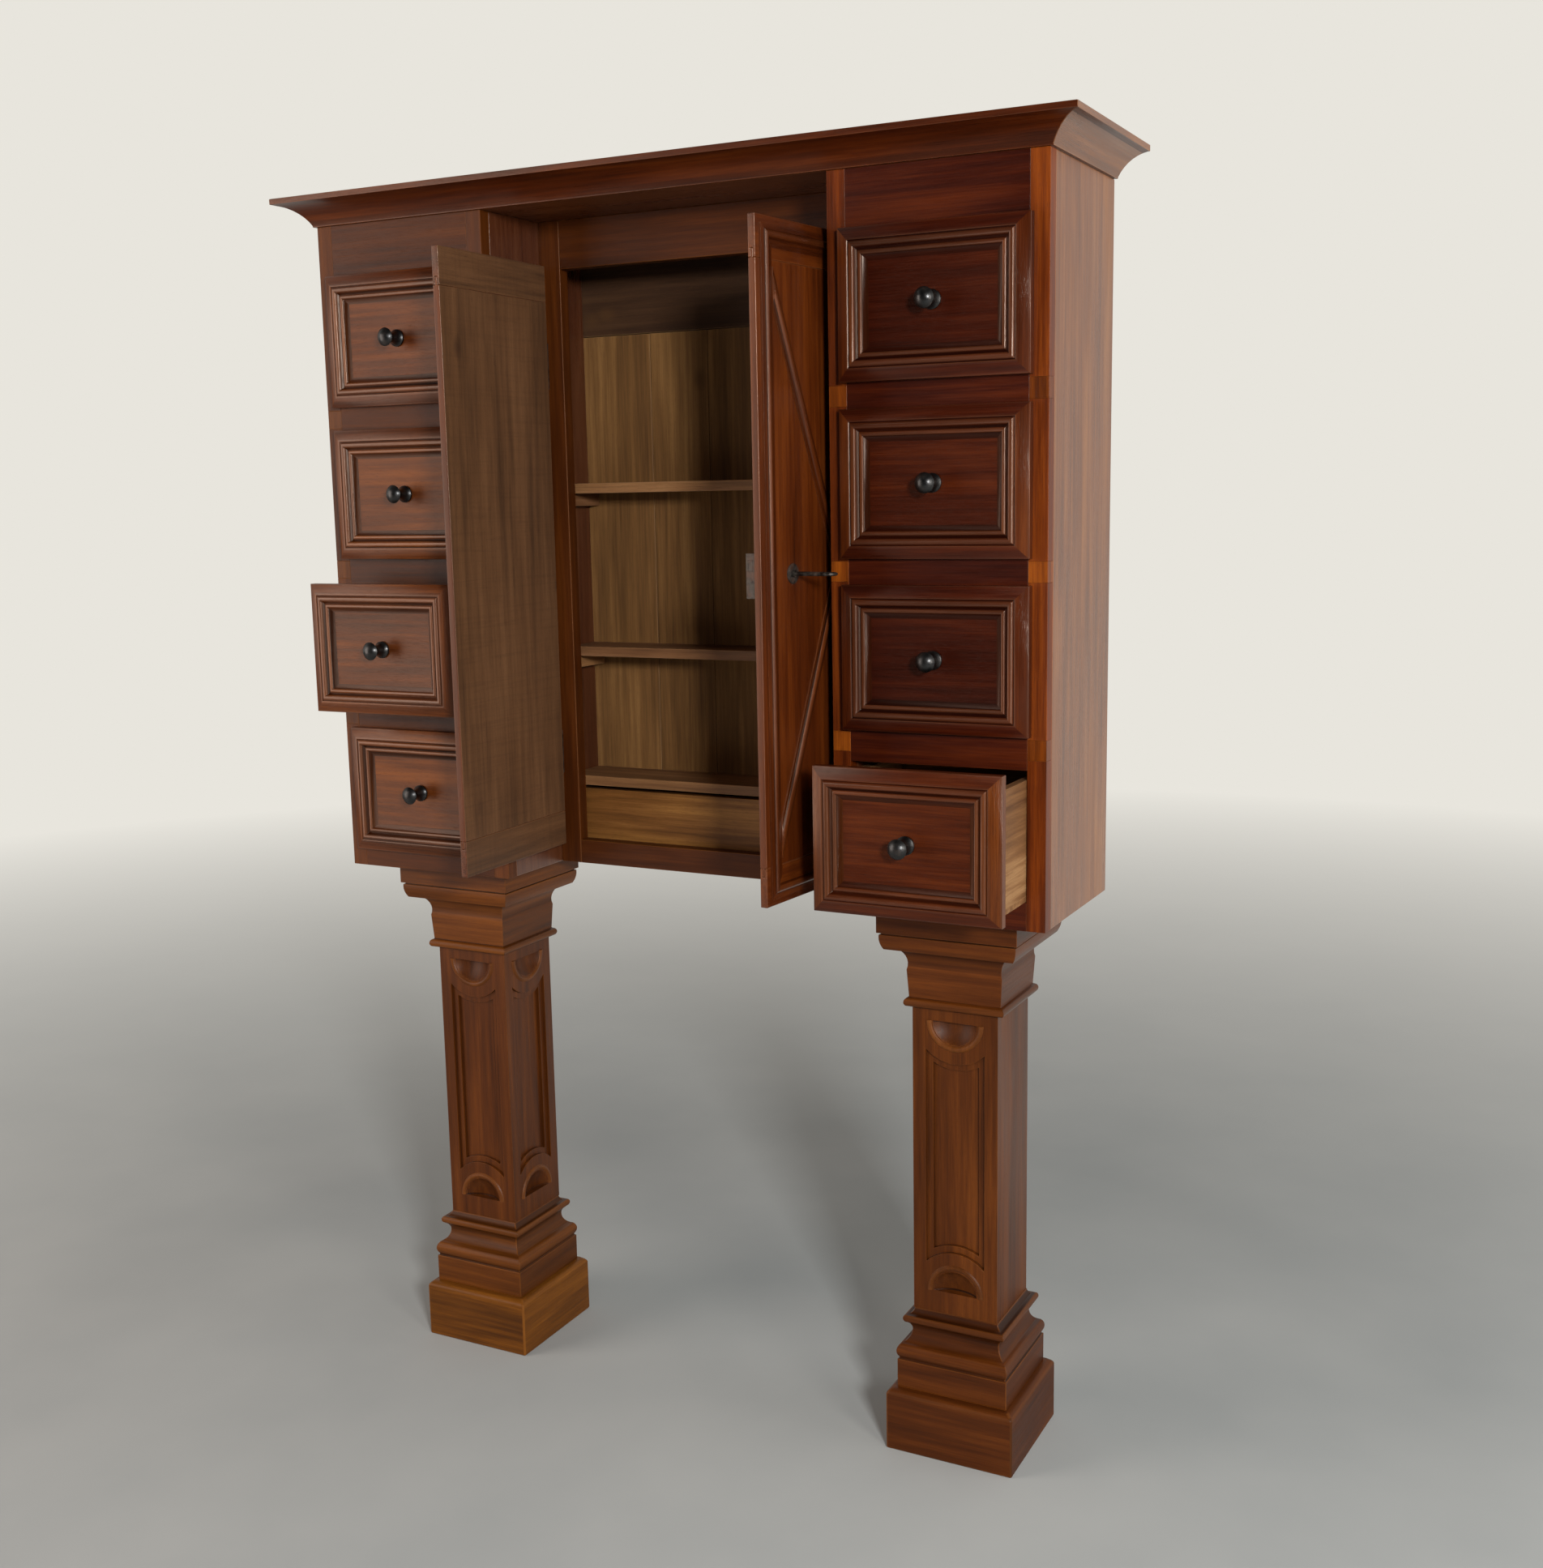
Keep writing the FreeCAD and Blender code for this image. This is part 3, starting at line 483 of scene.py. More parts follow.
# %% Mix the woods
woods = {
    "walnut_dark": wood(
        "side walnut", paint(84, 44, 20), paint(118, 68, 34), paint(146, 94, 54), paint(150, 104, 66),
        rough=0.32, shine=0.55, ridge_wear_and_highlight=0.2),
    "walnut_front": wood(
        "front walnut", paint(40, 11, 3), paint(66, 23, 5), paint(92, 39, 10), paint(128, 78, 44),
        rough=0.32, shine=0.26, ridge_wear_and_highlight=0.2, burnish=2.2),
    "walnut_light": wood(
        "frame walnut", paint(58, 19, 2), paint(102, 43, 6), paint(144, 70, 12), paint(150, 88, 38),
        rough=0.38, shine=0.18, ridge_wear_and_highlight=0.12),
    "walnut_door": wood(
        "unpolished walnut", paint(58, 36, 22), paint(83, 53, 33), paint(98, 65, 42), paint(120, 86, 60),
        rough=0.62, shine=0.3, figure=0.8, knots=0.9, saw_marks=0.2),
    "walnut_pillar": wood(
        "pillar walnut", paint(58, 27, 6), paint(86, 43, 9), paint(112, 60, 16), paint(136, 84, 38),
        rough=0.42, shine=0.16, ridge_wear_and_highlight=0.3),
    "pine_back": wood(
        "back pine", paint(82, 53, 25), paint(116, 80, 41), paint(146, 105, 59), paint(146, 112, 72),
        rough=0.68, shine=0.3, figure=1.4, knots=0.6),
    "pine_shelf": wood(
        "shelf pine", paint(90, 58, 32), paint(136, 94, 58), paint(166, 121, 80), paint(170, 130, 92),
        rough=0.60, shine=0.3),
    "pine_apron": wood(
        "apron pine", paint(64, 36, 13), paint(110, 68, 29), paint(146, 98, 48), paint(146, 102, 60),
        rough=0.50, shine=0.25, figure=1.2, knots=0.5),
    "pine_drawer": wood(
        "drawer pine", paint(96, 62, 32), paint(144, 102, 60), paint(194, 152, 102), paint(180, 142, 98),
        rough=0.66, shine=0.3, figure=1.2, knots=0.4),
}
print(len(woods), "woods")

# %% [markdown]
# ## Black knobs and iron
# The knobs are turned wood under a thick black finish, so they are nearly black and shiny, with a few
# rubbed places. The lock, key and hinges are old iron: dark, half metallic, and freckled with brown where
# they have rusted. These pieces are too small to show a grain, so both patterns sit on the object's own
# coordinates. The iron pieces are right as the frame has them, and only get the material.

# %% Knob and iron materials
iron_relief = 0.0004


def black_finish():
    material, tree, surface = new_material("black knob finish")
    place = add_node(tree, "TexCoord", {}).outputs["Object"]
    smear = add_noise(tree, place, (90, 90, 90), 4)
    colour = add_ramp(tree, smear, [(0.35, paint(6, 6, 6)), (0.60, paint(16, 14, 13)),
                                    (0.74, paint(44, 34, 27))])
    tree.links.new(colour, surface.inputs["Base Color"])
    tree.links.new(add_range(tree, smear, 0.3, 0.7, 0.26, 0.42), surface.inputs["Roughness"])
    return material


def old_iron():
    material, tree, surface = new_material("old iron")
    place = add_node(tree, "TexCoord", {}).outputs["Object"]
    mottle = add_noise(tree, place, (160, 160, 160), 5)
    rust = add_noise(tree, place, (60, 60, 60), 6)
    metal = add_ramp(tree, mottle, [(0.3, paint(38, 35, 33)), (0.7, paint(92, 86, 80))])
    colour = add_blend(tree, add_range(tree, rust, 0.52, 0.68, 0, 0.8), metal, paint(74, 44, 26))
    tree.links.new(colour, surface.inputs["Base Color"])
    tree.links.new(add_range(tree, rust, 0.5, 0.68, 0.85, 0.2), surface.inputs["Metallic"])
    tree.links.new(add_range(tree, mottle, 0.3, 0.7, 0.38, 0.62), surface.inputs["Roughness"])
    bump = add_node(tree, "Bump", {"Height": mottle, "Strength": 0.25, "Distance": iron_relief})
    tree.links.new(bump.outputs["Normal"], surface.inputs["Normal"])
    return material


knob_black = black_finish()
iron = old_iron()
iron_nodes = [name for name in frame["nodes"] if "hinge" in name]
iron_nodes += ["escutcheon", "lock_case", "lock_bolt", "key"]
for name in iron_nodes:
    for slot in frame["nodes"][name].material_slots:
        slot.material = iron
print(len(iron_nodes), "iron pieces")

# %% [markdown]
# ## Handing a piece over
# A finished piece takes the place of one solid of the frame: it rides on the same moving body, names the
# same finish, and hides the plain solid that it stands for. One helper does this for all of them, so that
# no drawer or door is left behind when the cabinet opens.

# %% Hand a finished piece to the frame
bodies = frame["record"]["behaviour"]["bodies"]
body_of = {node: body for body, members in bodies.items() for node in members}
slot_of = {row["node"]: row["material_slot"] for row in frame["record"]["subparts"]}


def hand_over(piece, node, material=None):
    piece.name = node + "_piece"
    piece.data.name = piece.name
    if not piece.data.materials:
        piece.data.materials.append(material or woods[slot_of[node]])
    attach(piece, body_of[node])
    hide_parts(node)
    low = Vector([min(vert.co[axis] for vert in piece.data.vertices) for axis in range(3)])
    high = Vector([max(vert.co[axis] for vert in piece.data.vertices) for axis in range(3)])
    print(piece.name, len(piece.data.polygons), "faces,", [round(size, 3) for size in high - low])
    return piece


def make_boards(node, spans, edge, tone_of=None, material=None):
    piece = soften(add_boards(spans), edge)
    piece.name = node + "_piece"
    mark_wood(piece, tone_of=tone_of)
    return hand_over(piece, node, material)


# %% [markdown]
# ## The case
# The case is a box of boards with an open front for the drawers. Its main lines come from the frame: the
# top board gives the width and depth, and the side boards give the height. Each board is listed by its
# six faces, as on a cutting list, which is easier to check than a box that is hollowed out.

# %% Sides, top and bottoms
top_low, top_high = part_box("case_top")
side_low, side_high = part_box("right_bank_sides")
front_y = top_low.y
back_y = top_high.y
half_case = top_high.x
half_cupboard = side_low.x
case_z = side_low.z
top_z = side_high.z

side_thickness = 0.027
face_thickness = 0.022
back_thickness = 0.012
bottom_thickness = 0.022
case_edge = 0.0012
top_planks = 3
faded_side_tone = 0.58
# the sides next to the doors are darkened as painted shade
shaded_inner_side_tone = 0.12
case_top_tone = 0.2

face_y = front_y + face_thickness
lining_y = back_y - back_thickness
bank_left = half_cupboard + side_thickness
bank_right = half_case - side_thickness

bank_sides = [
    span(bank_right, half_case, face_y, back_y, case_z, top_z),
    span(half_cupboard, bank_left, face_y, lining_y, case_z, top_z),
]


def side_tone(along, group):
    """The outer sides have faded, and the sides next to the doors are painted dark as the shade that falls on
    them.
    """
    outermost = max(abs(face.calc_center_median().x) for face in group)
    return faded_side_tone if outermost > bank_right else shaded_inner_side_tone


make_boards("right_bank_sides", bank_sides, case_edge, side_tone)
make_boards("left_bank_sides", other_side(bank_sides), case_edge, side_tone)

plank_depth = (back_y - front_y) / top_planks
make_boards("case_top", [
    span(-half_case, half_case, front_y + number * plank_depth, front_y + (number + 1) * plank_depth,
         top_low.z, top_high.z) for number in range(top_planks)], case_edge, one_tone(case_top_tone))

cupboard_low, cupboard_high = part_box("cupboard_frame")
cupboard_y = cupboard_high.y
bank_bottom = span(bank_left, bank_right, face_y, lining_y, case_z, case_z + bottom_thickness)
middle_bottom = span(-half_cupboard, half_cupboard, cupboard_y, lining_y, case_z, case_z + bottom_thickness)
make_boards("case_bottoms", [bank_bottom, middle_bottom] + other_side([bank_bottom]), case_edge)

# %% [markdown]
# ## Face frames
# A frame of stiles and rails covers the front edges of each bank. Where a rail is let into a stile, a small
# block of paler wood shows, so the stile is built in lengths with such a block between them. The blocks'
# paler tone also paints the light that falls on the stile there, where no drawer lip shades it. The rails and
# the frieze on the right are darker and redder than the stiles, which the tone tells the material. The left
# frame has kept a dull brown polish, so it takes the pillars' wood.

# %% Stiles, rails and their tones
drawers_per_bank = 4
opening_height = 0.182
rail_height = 0.0555
bottom_rail_height = 0.040
frieze_height = 0.0875
joint_block_height = 0.028
# the joint blocks' paler tone is partly painted light: the stile is lit there between the drawer lips
frame_tones = {
    "left": {"block": 0.60, "rail": 0.36, "stile": 0.40},
    "right": {"block": 0.72, "rail": 0.02, "stile": 0.42},
}
pitch = opening_height + rail_height


def opening_z(number):
    """Bottom of a drawer opening, with the top drawer as number 0."""
    return case_z + bottom_rail_height + (drawers_per_bank - 1 - number) * pitch


def stile(x0, x1):
    """Lengths of stile with a joint block at every rail."""
    lengths = []
    start = case_z
    for number in reversed(range(drawers_per_bank - 1)):
        middle = opening_z(number) - rail_height / 2
        block_z0 = middle - joint_block_height / 2
        block_z1 = middle + joint_block_height / 2
        lengths.append(span(x0, x1, front_y, face_y, start, block_z0))
        lengths.append(span(x0, x1, front_y, face_y, block_z0, block_z1))
        start = block_z1
    lengths.append(span(x0, x1, front_y, face_y, start, top_z))
    return lengths


def frame_tone(along, group):
    """Dark rails, lighter stiles, and the palest wood in the joint blocks, which also paints the light on the
    stile between the drawer lips.
    """
    heights = [vert.co.z for face in group for vert in face.verts]
    tones = frame_tones["left" if group[0].verts[0].co.x < 0 else "right"]
    if max(heights) - min(heights) < joint_block_height + case_edge:
        return tones["block"]
    return tones["rail"] if abs(along.x) > abs(along.z) else tones["stile"]


face_frame = stile(half_cupboard, bank_left) + stile(bank_right, half_case)
face_frame.append(span(bank_left, bank_right, front_y, face_y, top_z - frieze_height, top_z))
face_frame.append(span(bank_left, bank_right, front_y, face_y, case_z, case_z + bottom_rail_height))
for number in range(drawers_per_bank - 1):
    rail_top = opening_z(number)
    face_frame.append(span(bank_left, bank_right, front_y, face_y, rail_top - rail_height, rail_top))
make_boards("right_face_frame", face_frame, case_edge / 2, frame_tone)
make_boards("left_face_frame", other_side(face_frame), case_edge / 2, frame_tone, woods["walnut_pillar"])

# %% [markdown]
# ## Runners
# Every drawer slides on two strips that are fixed to the bank's sides. They hardly show, but a drawer that
# stands open lets one look in, so each is a board like the others and ends just under the drawer's bottom.

# %% Drawer runners
runner_width = 0.024
runner_height = 0.0187
runner_drop = 0.0007

runners = []
for number in range(drawers_per_bank):
    runner_top = opening_z(number) + runner_drop
    for x0 in (bank_left, bank_right - runner_width):
        runners.append(span(x0, x0 + runner_width, face_y, lining_y, runner_top - runner_height, runner_top))
make_boards("drawer_runners", runners + other_side(runners), case_edge)

# %% [markdown]
# ## Inside the cupboard
# Behind the doors there are a frame, three shelves on cleats, an apron board under the lowest shelf, and a
# back of upright pine boards. A groove in one large panel could stand for a joint, but the boards have
# shrunk apart a little, so each is a block of its own and the dark gaps between them are real.

# %% Cupboard frame
stile_width = 0.038
header_height = 0.074
foot_rail_height = 0.039
cupboard_tone = 0.28

inner_x = half_cupboard - stile_width
cupboard_stile = span(inner_x, half_cupboard, cupboard_low.y, cupboard_y, case_z, top_z)
make_boards("cupboard_frame", [cupboard_stile] + other_side([cupboard_stile]) + [
    span(-inner_x, inner_x, cupboard_low.y, cupboard_y, top_z - header_height, top_z),
    span(-inner_x, inner_x, cupboard_low.y, cupboard_y, case_z, case_z + foot_rail_height)], case_edge,
    one_tone(cupboard_tone), woods["walnut_pillar"])

# %% Shelves, cleats and apron
shelf_thickness = 0.016
shelf_setback = 0.012
floor_height = 0.127
lower_space = 0.196
middle_space = 0.247
cleat_size = 0.020
apron_setback = 0.010
apron_thickness = 0.016
apron_gap = 0.007

floor_z = case_z + floor_height
lower_z = floor_z + shelf_thickness + lower_space
upper_z = lower_z + shelf_thickness + middle_space
shelf_y = cupboard_y + shelf_setback
make_boards("cupboard_shelves", [
    span(-half_cupboard, half_cupboard, y, lining_y, z, z + shelf_thickness)
    for z, y in ((floor_z, cupboard_y), (lower_z, shelf_y), (upper_z, shelf_y))], case_edge)

apron_y = cupboard_y + apron_setback
cleats = [span(half_cupboard - cleat_size, half_cupboard, y, lining_y, z - cleat_size, z)
          for z, y in ((floor_z, apron_y + apron_thickness), (lower_z, shelf_y), (upper_z, shelf_y))]
make_boards("shelf_cleats", cleats + other_side(cleats), case_edge)
make_boards("inner_apron", [span(-half_cupboard, half_cupboard, apron_y, apron_y + apron_thickness,
                                 case_z + bottom_thickness, floor_z - apron_gap)], case_edge)

# %% Back boards
board_gap = 0.0006
top_board_height = 0.167
board_joint_shares = [0.22, 0.405, 0.60, 0.80]
top_board_tone = 0.0
upright_tone = 0.52

back_edge = half_cupboard + side_thickness / 2
bank_back = span(back_edge + board_gap, bank_right, lining_y, back_y, case_z, top_z)
upright_top = top_z - top_board_height
board_edges = [share * 2 * half_cupboard - half_cupboard for share in board_joint_shares]
back_boards = [bank_back] + other_side([bank_back])
back_boards.append(span(-back_edge, back_edge, lining_y, back_y, upright_top, top_z))
board_starts = [-back_edge] + [edge + board_gap for edge in board_edges]
for start, end in zip(board_starts, board_edges + [back_edge]):
    back_boards.append(span(start, end, lining_y, back_y, case_z, upright_top - board_gap))


def back_tone(along, group):
    """The board across the top is darker than the uprights."""
    return top_board_tone if abs(along.x) > abs(along.z) else upright_tone


make_boards("back_boards", back_boards, case_edge, back_tone)

# %% [markdown]
# ## Drawing an outline
# Mouldings, knobs and pillars all start from an outline, as the maker's plane irons and templates did. A
# curve object could hold it, but a mesh outline can be filled, spun or sawn at once. Its points are shares
# of a moulding's width and height, and a stretch with two points is an arc that passes through the first
# and ends at the second.

# %% Outlines with arcs
arc_steps = 7


def arc_points(start, through, end):
    """Points on the circle through three points in a plane, after the start."""
    first, second, third = Vector(start), Vector(through), Vector(end)
    side = second - first
    other = third - first
    cross = 2 * (side.x * other.y - side.y * other.x)
    centre = first + Vector((other.y * side.length_squared - side.y * other.length_squared,
                             side.x * other.length_squared - other.x * side.length_squared)) / cross
    arm = first - centre
    turn = arm.angle_signed(second - centre) + (second - centre).angle_signed(third - centre)
    # angle_signed counts clockwise as positive
    return [centre + Matrix.Rotation(-turn * (step + 1) / arc_steps, 2) @ arm for step in range(arc_steps)]


def outline(start, stretches, width, height):
    """The outline's points in metres, from shares of a width and a height."""
    points = [Vector((start[0] * width, start[1] * height))]
    for stretch in stretches:
        scaled = [Vector((across * width, up * height)) for across, up in stretch]
        if len(scaled) == 1:
            points.append(scaled[0])
        else:
            points.extend(arc_points(points[-1], scaled[0], scaled[1]))
    return points


print("arcs have", arc_steps, "steps")

# %% [markdown]
# ## From outline to solid
# A plane is added, merged into one vertex, and that vertex is extruded from point to point, as one does
# by clicking along a drawing. The closed outline is then filled and pulled out to a prism. Afterwards all
# faces are turned outwards, because a fill can end up facing either way.

# %% Draw, fill and pull
merge_distance = 0.00001


def draw(points, fill):
    """Extrudes one vertex from point to point, and leaves the piece in edit mode, all selected."""
    clear_selection()
    bpy.ops.mesh.primitive_plane_add(size=1, location=points[0])
    piece = settle(bpy.context.object)
    bpy.ops.object.mode_set(mode="EDIT")
    bpy.ops.mesh.select_mode(type="VERT")
    bpy.ops.mesh.select_all(action="SELECT")
    bpy.ops.mesh.merge(type="CENTER")
    for here, there in zip(points, points[1:]):
        bpy.ops.mesh.extrude_region_move(TRANSFORM_OT_translate={"value": there - here})
    bpy.ops.mesh.select_all(action="SELECT")
    if fill:
        bpy.ops.mesh.edge_face_add()
    return piece


def face_outwards(piece, merge=True):
    """Merges doubled points, unless boards only touch there, and turns every face outwards."""
    edit_all(piece)
    if merge:
        bpy.ops.mesh.remove_doubles(threshold=merge_distance)
    bpy.ops.mesh.normals_make_consistent(inside=False)
    bpy.ops.object.mode_set(mode="OBJECT")
    return piece


def draw_prism(points, along):
    """A filled outline pulled out along one direction."""
    piece = draw(points, True)
    bpy.ops.mesh.extrude_region_move(TRANSFORM_OT_translate={"value": along})
    return face_outwards(piece)


def join(pieces):
    take(pieces[0])
    for piece in pieces[1:]:
        piece.select_set(True)
    bpy.ops.object.join()
    return pieces[0]


print("points closer than", 1000 * merge_distance, "mm are merged")

# %% [markdown]
# ## Moulded strips
# A moulding is planed as one long strip and then sawn to length with mitred ends. So the outline is pulled
# out along its length, and Bisect saws the ends off, where a bevelled box would have no true mitre. A strip
# lies along X with its outline across Y and Z until it is carried to its place.

# %% Strips and saw cuts
right = Vector((1, 0, 0))
inwards = Vector((0, 1, 0))
up = Vector((0, 0, 1))


def saw(piece, point, keep_side):
    """Cuts along a plane and keeps the side that the direction points to."""
    edit_all(piece)
    bpy.ops.mesh.bisect(plane_co=point, plane_no=keep_side, use_fill=True, clear_inner=True)
    bpy.ops.object.mode_set(mode="OBJECT")
    return piece


def strip(points, length):
    return draw_prism([Vector((0, point.x, point.y)) for point in points], Vector((length, 0, 0)))


def carry(piece, origin, along, inward, outward):
    """Turns a strip from X, Y, Z to three directions and moves it to its corner."""
    turn = Matrix((along, inward, outward)).transposed().to_4x4()
    return put(piece, Matrix.Translation(origin) @ turn)


print("a strip starts along", list(right))

# %% [markdown]
# ## Cornice
# The cornice crowns the case with a hollow moulding that runs along the front and back along both sides.
# Three strips with mitred ends meet at the corners, as on the real one. The front strip has the dark finish
# of the drawer fronts, and the two returns have faded with the sides, so the piece has two materials.

# %% Cornice
cornice_projection = 0.050
cornice_height = 0.041
cornice_shares = [
    ((0.10, 0.0),), ((0.10, 0.05),), ((0.36, 0.46), (0.94, 0.79)),
    ((1.0, 0.79),), ((1.0, 1.0),), ((0.0, 1.0),),
]
strip_edge = 0.0008
cornice_tone = 0.62
sideways_share = 0.3

cornice_outline = outline((0, 0), cornice_shares, cornice_projection, cornice_height)
reach = half_case + cornice_projection
front_strip = strip(cornice_outline, 2 * reach)
saw(front_strip, (cornice_projection, 0, 0), (1, 1, 0))
saw(front_strip, (2 * reach - cornice_projection, 0, 0), (-1, 1, 0))
carry(front_strip, (reach, front_y, top_z), -right, -inwards, up)

side_length = back_y - front_y + cornice_projection
right_return = strip(cornice_outline, side_length)
saw(right_return, (side_length - cornice_projection, 0, 0), (-1, 1, 0))
carry(right_return, (half_case, back_y, top_z), -inwards, right, up)
left_return = strip(cornice_outline, side_length)
saw(left_return, (cornice_projection, 0, 0), (1, 1, 0))
carry(left_return, (-half_case, front_y - cornice_projection, top_z), inwards, -right, up)

cornice = soften(join([front_strip, right_return, left_return]), strip_edge)
cornice.name = "cornice_piece"
mark_wood(cornice, tone_of=one_tone(cornice_tone))
for finish in ("walnut_front", "walnut_dark"):
    cornice.data.materials.append(woods[finish])
for face in cornice.data.polygons:
    face.material_index = 1 if abs(face.normal.x) > sideways_share else 0
hand_over(cornice, "cornice")

# %% [markdown]
# ## A drawer front
# Each front is a board with a lip that covers the edge of its opening, and a raised moulding runs round it
# with mitred corners. It could be sawn from strips like the cornice, but insetting the front face once for
# every point of the outline gives the mitres for free: each inset goes a little further in and a little up
# or down. Behind the lip sits a tongue whose ends have sockets for the dovetails of the drawer's sides.

# %% Dovetails
tongue_width = 0.258
tongue_height = 0.180
tongue_thickness = 0.014
side_board = 0.012
bottom_board = 0.008
side_drop = 0.012
dovetail_count = 3
dovetail_depth = 0.010
root_share = 0.40
tip_share = 0.62
side_height = tongue_height - bottom_board - side_drop


def dovetail_steps(root_y, tip_y):
    """A zigzag up one end of a drawer side, out along every tail and back."""
    tail_pitch = side_height / dovetail_count
    root = root_share * tail_pitch / 2
    tip = tip_share * tail_pitch / 2
    steps = []
    for number in range(dovetail_count):
        middle = bottom_board + (number + 1 / 2) * tail_pitch
        steps += [(root_y, middle - root), (tip_y, middle - tip),
                  (tip_y, middle + tip), (root_y, middle + root)]
    return steps


def slab(corners, x0, x1):
    """An outline in the YZ plane pulled out from one X to another."""
    return draw_prism([Vector((x0, y, z)) for y, z in corners], Vector((x1 - x0, 0, 0)))


print("tails are", round(1000 * tip_share * side_height / dovetail_count, 1), "mm wide at the tip")

# %% Drawer front
lip_width = 0.272
lip_height = 0.202
lip_thickness = 0.012
lip_gap = 0.0003
lip_drop = 0.011
moulding_width = 0.045
moulding_height = 0.012
moulding_shares = [
    ((0.0, 0.10),), ((0.18, 0.52), (0.38, 0.80)), ((0.42, 0.68),), ((0.52, 0.98), (0.62, 0.64)),
    ((0.69, 0.42),), ((0.765, 0.62), (0.84, 0.36)), ((1.0, 0.0),),
]
drawer_edge = 0.0006
facing_share = 0.5
tongue_back = tongue_thickness - lip_gap
lip_front = -lip_thickness - lip_gap


def drawer_front():
    lip = add_boards([span(-lip_width / 2, lip_width / 2, lip_front, -lip_gap,
                           -lip_drop, lip_height - lip_drop)])
    pick_faces(lip, lambda face: face.normal.y < -facing_share)
    points = outline((0, 0), moulding_shares, moulding_width, moulding_height)
    for here, there in zip(points, points[1:]):
        bpy.ops.mesh.inset(thickness=there.x - here.x, depth=there.y - here.y)
    bpy.ops.object.mode_set(mode="OBJECT")

    half = tongue_width / 2
    inner = half - side_board
    sockets = dovetail_steps(tongue_back, tongue_back - dovetail_depth)
    end_corners = [(-lip_gap, 0), (tongue_back, 0)] + sockets
    end_corners += [(tongue_back, tongue_height), (-lip_gap, tongue_height)]
    middle = add_boards([span(-inner, inner, -lip_gap, tongue_back, 0, tongue_height)])
    return join([lip, middle, slab(end_corners, -half, -inner), slab(end_corners, inner, half)])


front_pattern = soften(drawer_front(), drawer_edge)
front_pattern.name = "drawer_front_pattern"
print("front:", len(front_pattern.data.polygons), "faces")

# %% [markdown]
# ## A drawer box
# The sides are cut with dovetails that hold in the front and pass through the back. Boolean cuts could make
# them, but the sides are drawn as outlines seen from the side, tails and all, and pulled out to their
# thickness. The ends of the back board fill the spaces between the tails.

# %% Drawer box
back_board = 0.012
rear_gap = 0.006
drawer_back = lining_y - front_y - rear_gap


def drawer_box():
    half = tongue_width / 2
    inner = half - side_board
    low = bottom_board
    top = bottom_board + side_height
    back_start = drawer_back - back_board
    front_steps = dovetail_steps(tongue_back, tongue_back - dovetail_depth)
    back_steps = dovetail_steps(back_start, drawer_back)
    side = [(tongue_back, low)] + front_steps + [(tongue_back, top), (back_start, top)]
    side += back_steps[::-1] + [(back_start, low)]
    pieces = []
    for x0, x1 in ((-half, -inner), (inner, half)):
        pieces.append(slab(side, x0, x1))
        below = (back_start, low)
        below_tip = (drawer_back, low)
        for tail in range(dovetail_count):
            root_low, tip_low, tip_high, root_high = back_steps[4 * tail:4 * tail + 4]
            pieces.append(slab([below, below_tip, tip_low, root_low], x0, x1))
            below, below_tip = root_high, tip_high
        pieces.append(slab([below, below_tip, (drawer_back, top), (back_start, top)], x0, x1))
    pieces.append(add_boards([
        span(-inner, inner, back_start, drawer_back, low, top),
        span(-half, half, tongue_back, drawer_back, 0, low)]))
    return join(pieces)


box_pattern = soften(drawer_box(), drawer_edge)
box_pattern.name = "drawer_box_pattern"
print("box:", len(box_pattern.data.polygons), "faces")

# %% [markdown]
# ## A knob
# The knob is a turned spool: a flat rose against the front, a waist, and a domed head. A lathe turns it from
# one stick, so half its section is drawn and spun round, which a stack of cylinders would never match.

# %% Drawer knob
rose_radius = 0.013
rose_thickness = 0.005
rose_edge = 0.003
waist_radius = 0.0075
head_radius = 0.014
knob_length = 0.037
waist_share = 0.45
widest_share = 0.80
knob_steps = 32


def drawer_knob():
    widest = widest_share * knob_length
    dome_height = knob_length - widest
    dome_radius = (head_radius ** 2 + dome_height ** 2) / (2 * dome_height)
    half_angle = math.asin(head_radius / dome_radius) / 2
    dome_point = Vector((dome_radius * math.sin(half_angle),
                         knob_length - dome_radius * (1 - math.cos(half_angle))))
    neck = Vector((waist_radius + rose_edge, rose_thickness))
    section = [Vector((0, 0)), Vector((rose_radius, 0)), Vector((rose_radius, rose_edge)), neck]
    section += arc_points(neck, (waist_radius, waist_share * knob_length), (head_radius, widest))
    section += arc_points((head_radius, widest), dome_point, (0, knob_length))
    middle_z = tongue_height / 2
    piece = draw([Vector((radius, lip_front - rise, middle_z)) for radius, rise in section], False)
    bpy.ops.mesh.spin(steps=knob_steps, angle=2 * math.pi, center=(0, 0, middle_z), axis=(0, 1, 0))
    face_outwards(piece)
    take(piece)
    bpy.ops.object.shade_smooth_by_angle(angle=edge_angle)
    return piece


knob_pattern = drawer_knob()
print("knob:", len(knob_pattern.data.polygons), "faces")

# %% [markdown]
# ## Eight drawers
# One front, one box and one knob are now copied eight times. Every copy gets a mesh of its own and its own
# grain, so that no two fronts look alike, and goes where the frame has that drawer: two of them stand
# partly open.

# %% Copy the drawers to their places


def copy_to(pattern, name, place):
    piece = bpy.data.objects.new(name, pattern.data.copy())
    bpy.context.scene.collection.objects.link(piece)
    piece.location = place
    return settle(piece)


# The left fronts' tones are far above the right ones: painted light, for the window light on the left bank.
front_tones_with_window_light = {"left": [0.85, 0.95, 1.0, 1.0], "right": [0.26, 0.34, 0.22, 0.52]}
# the uprights' extra tone is a painted highlight from the side light
upright_highlight_tone = 0.4
box_tone = 0.36


def tone_with_highlit_uprights(field_tone):
    """The upright mouldings are painted paler than the rest of a front, as the highlight that side light puts on
    them.
    """
    return lambda along, group: field_tone + upright_highlight_tone if abs(along.z) > abs(along.x) else field_tone


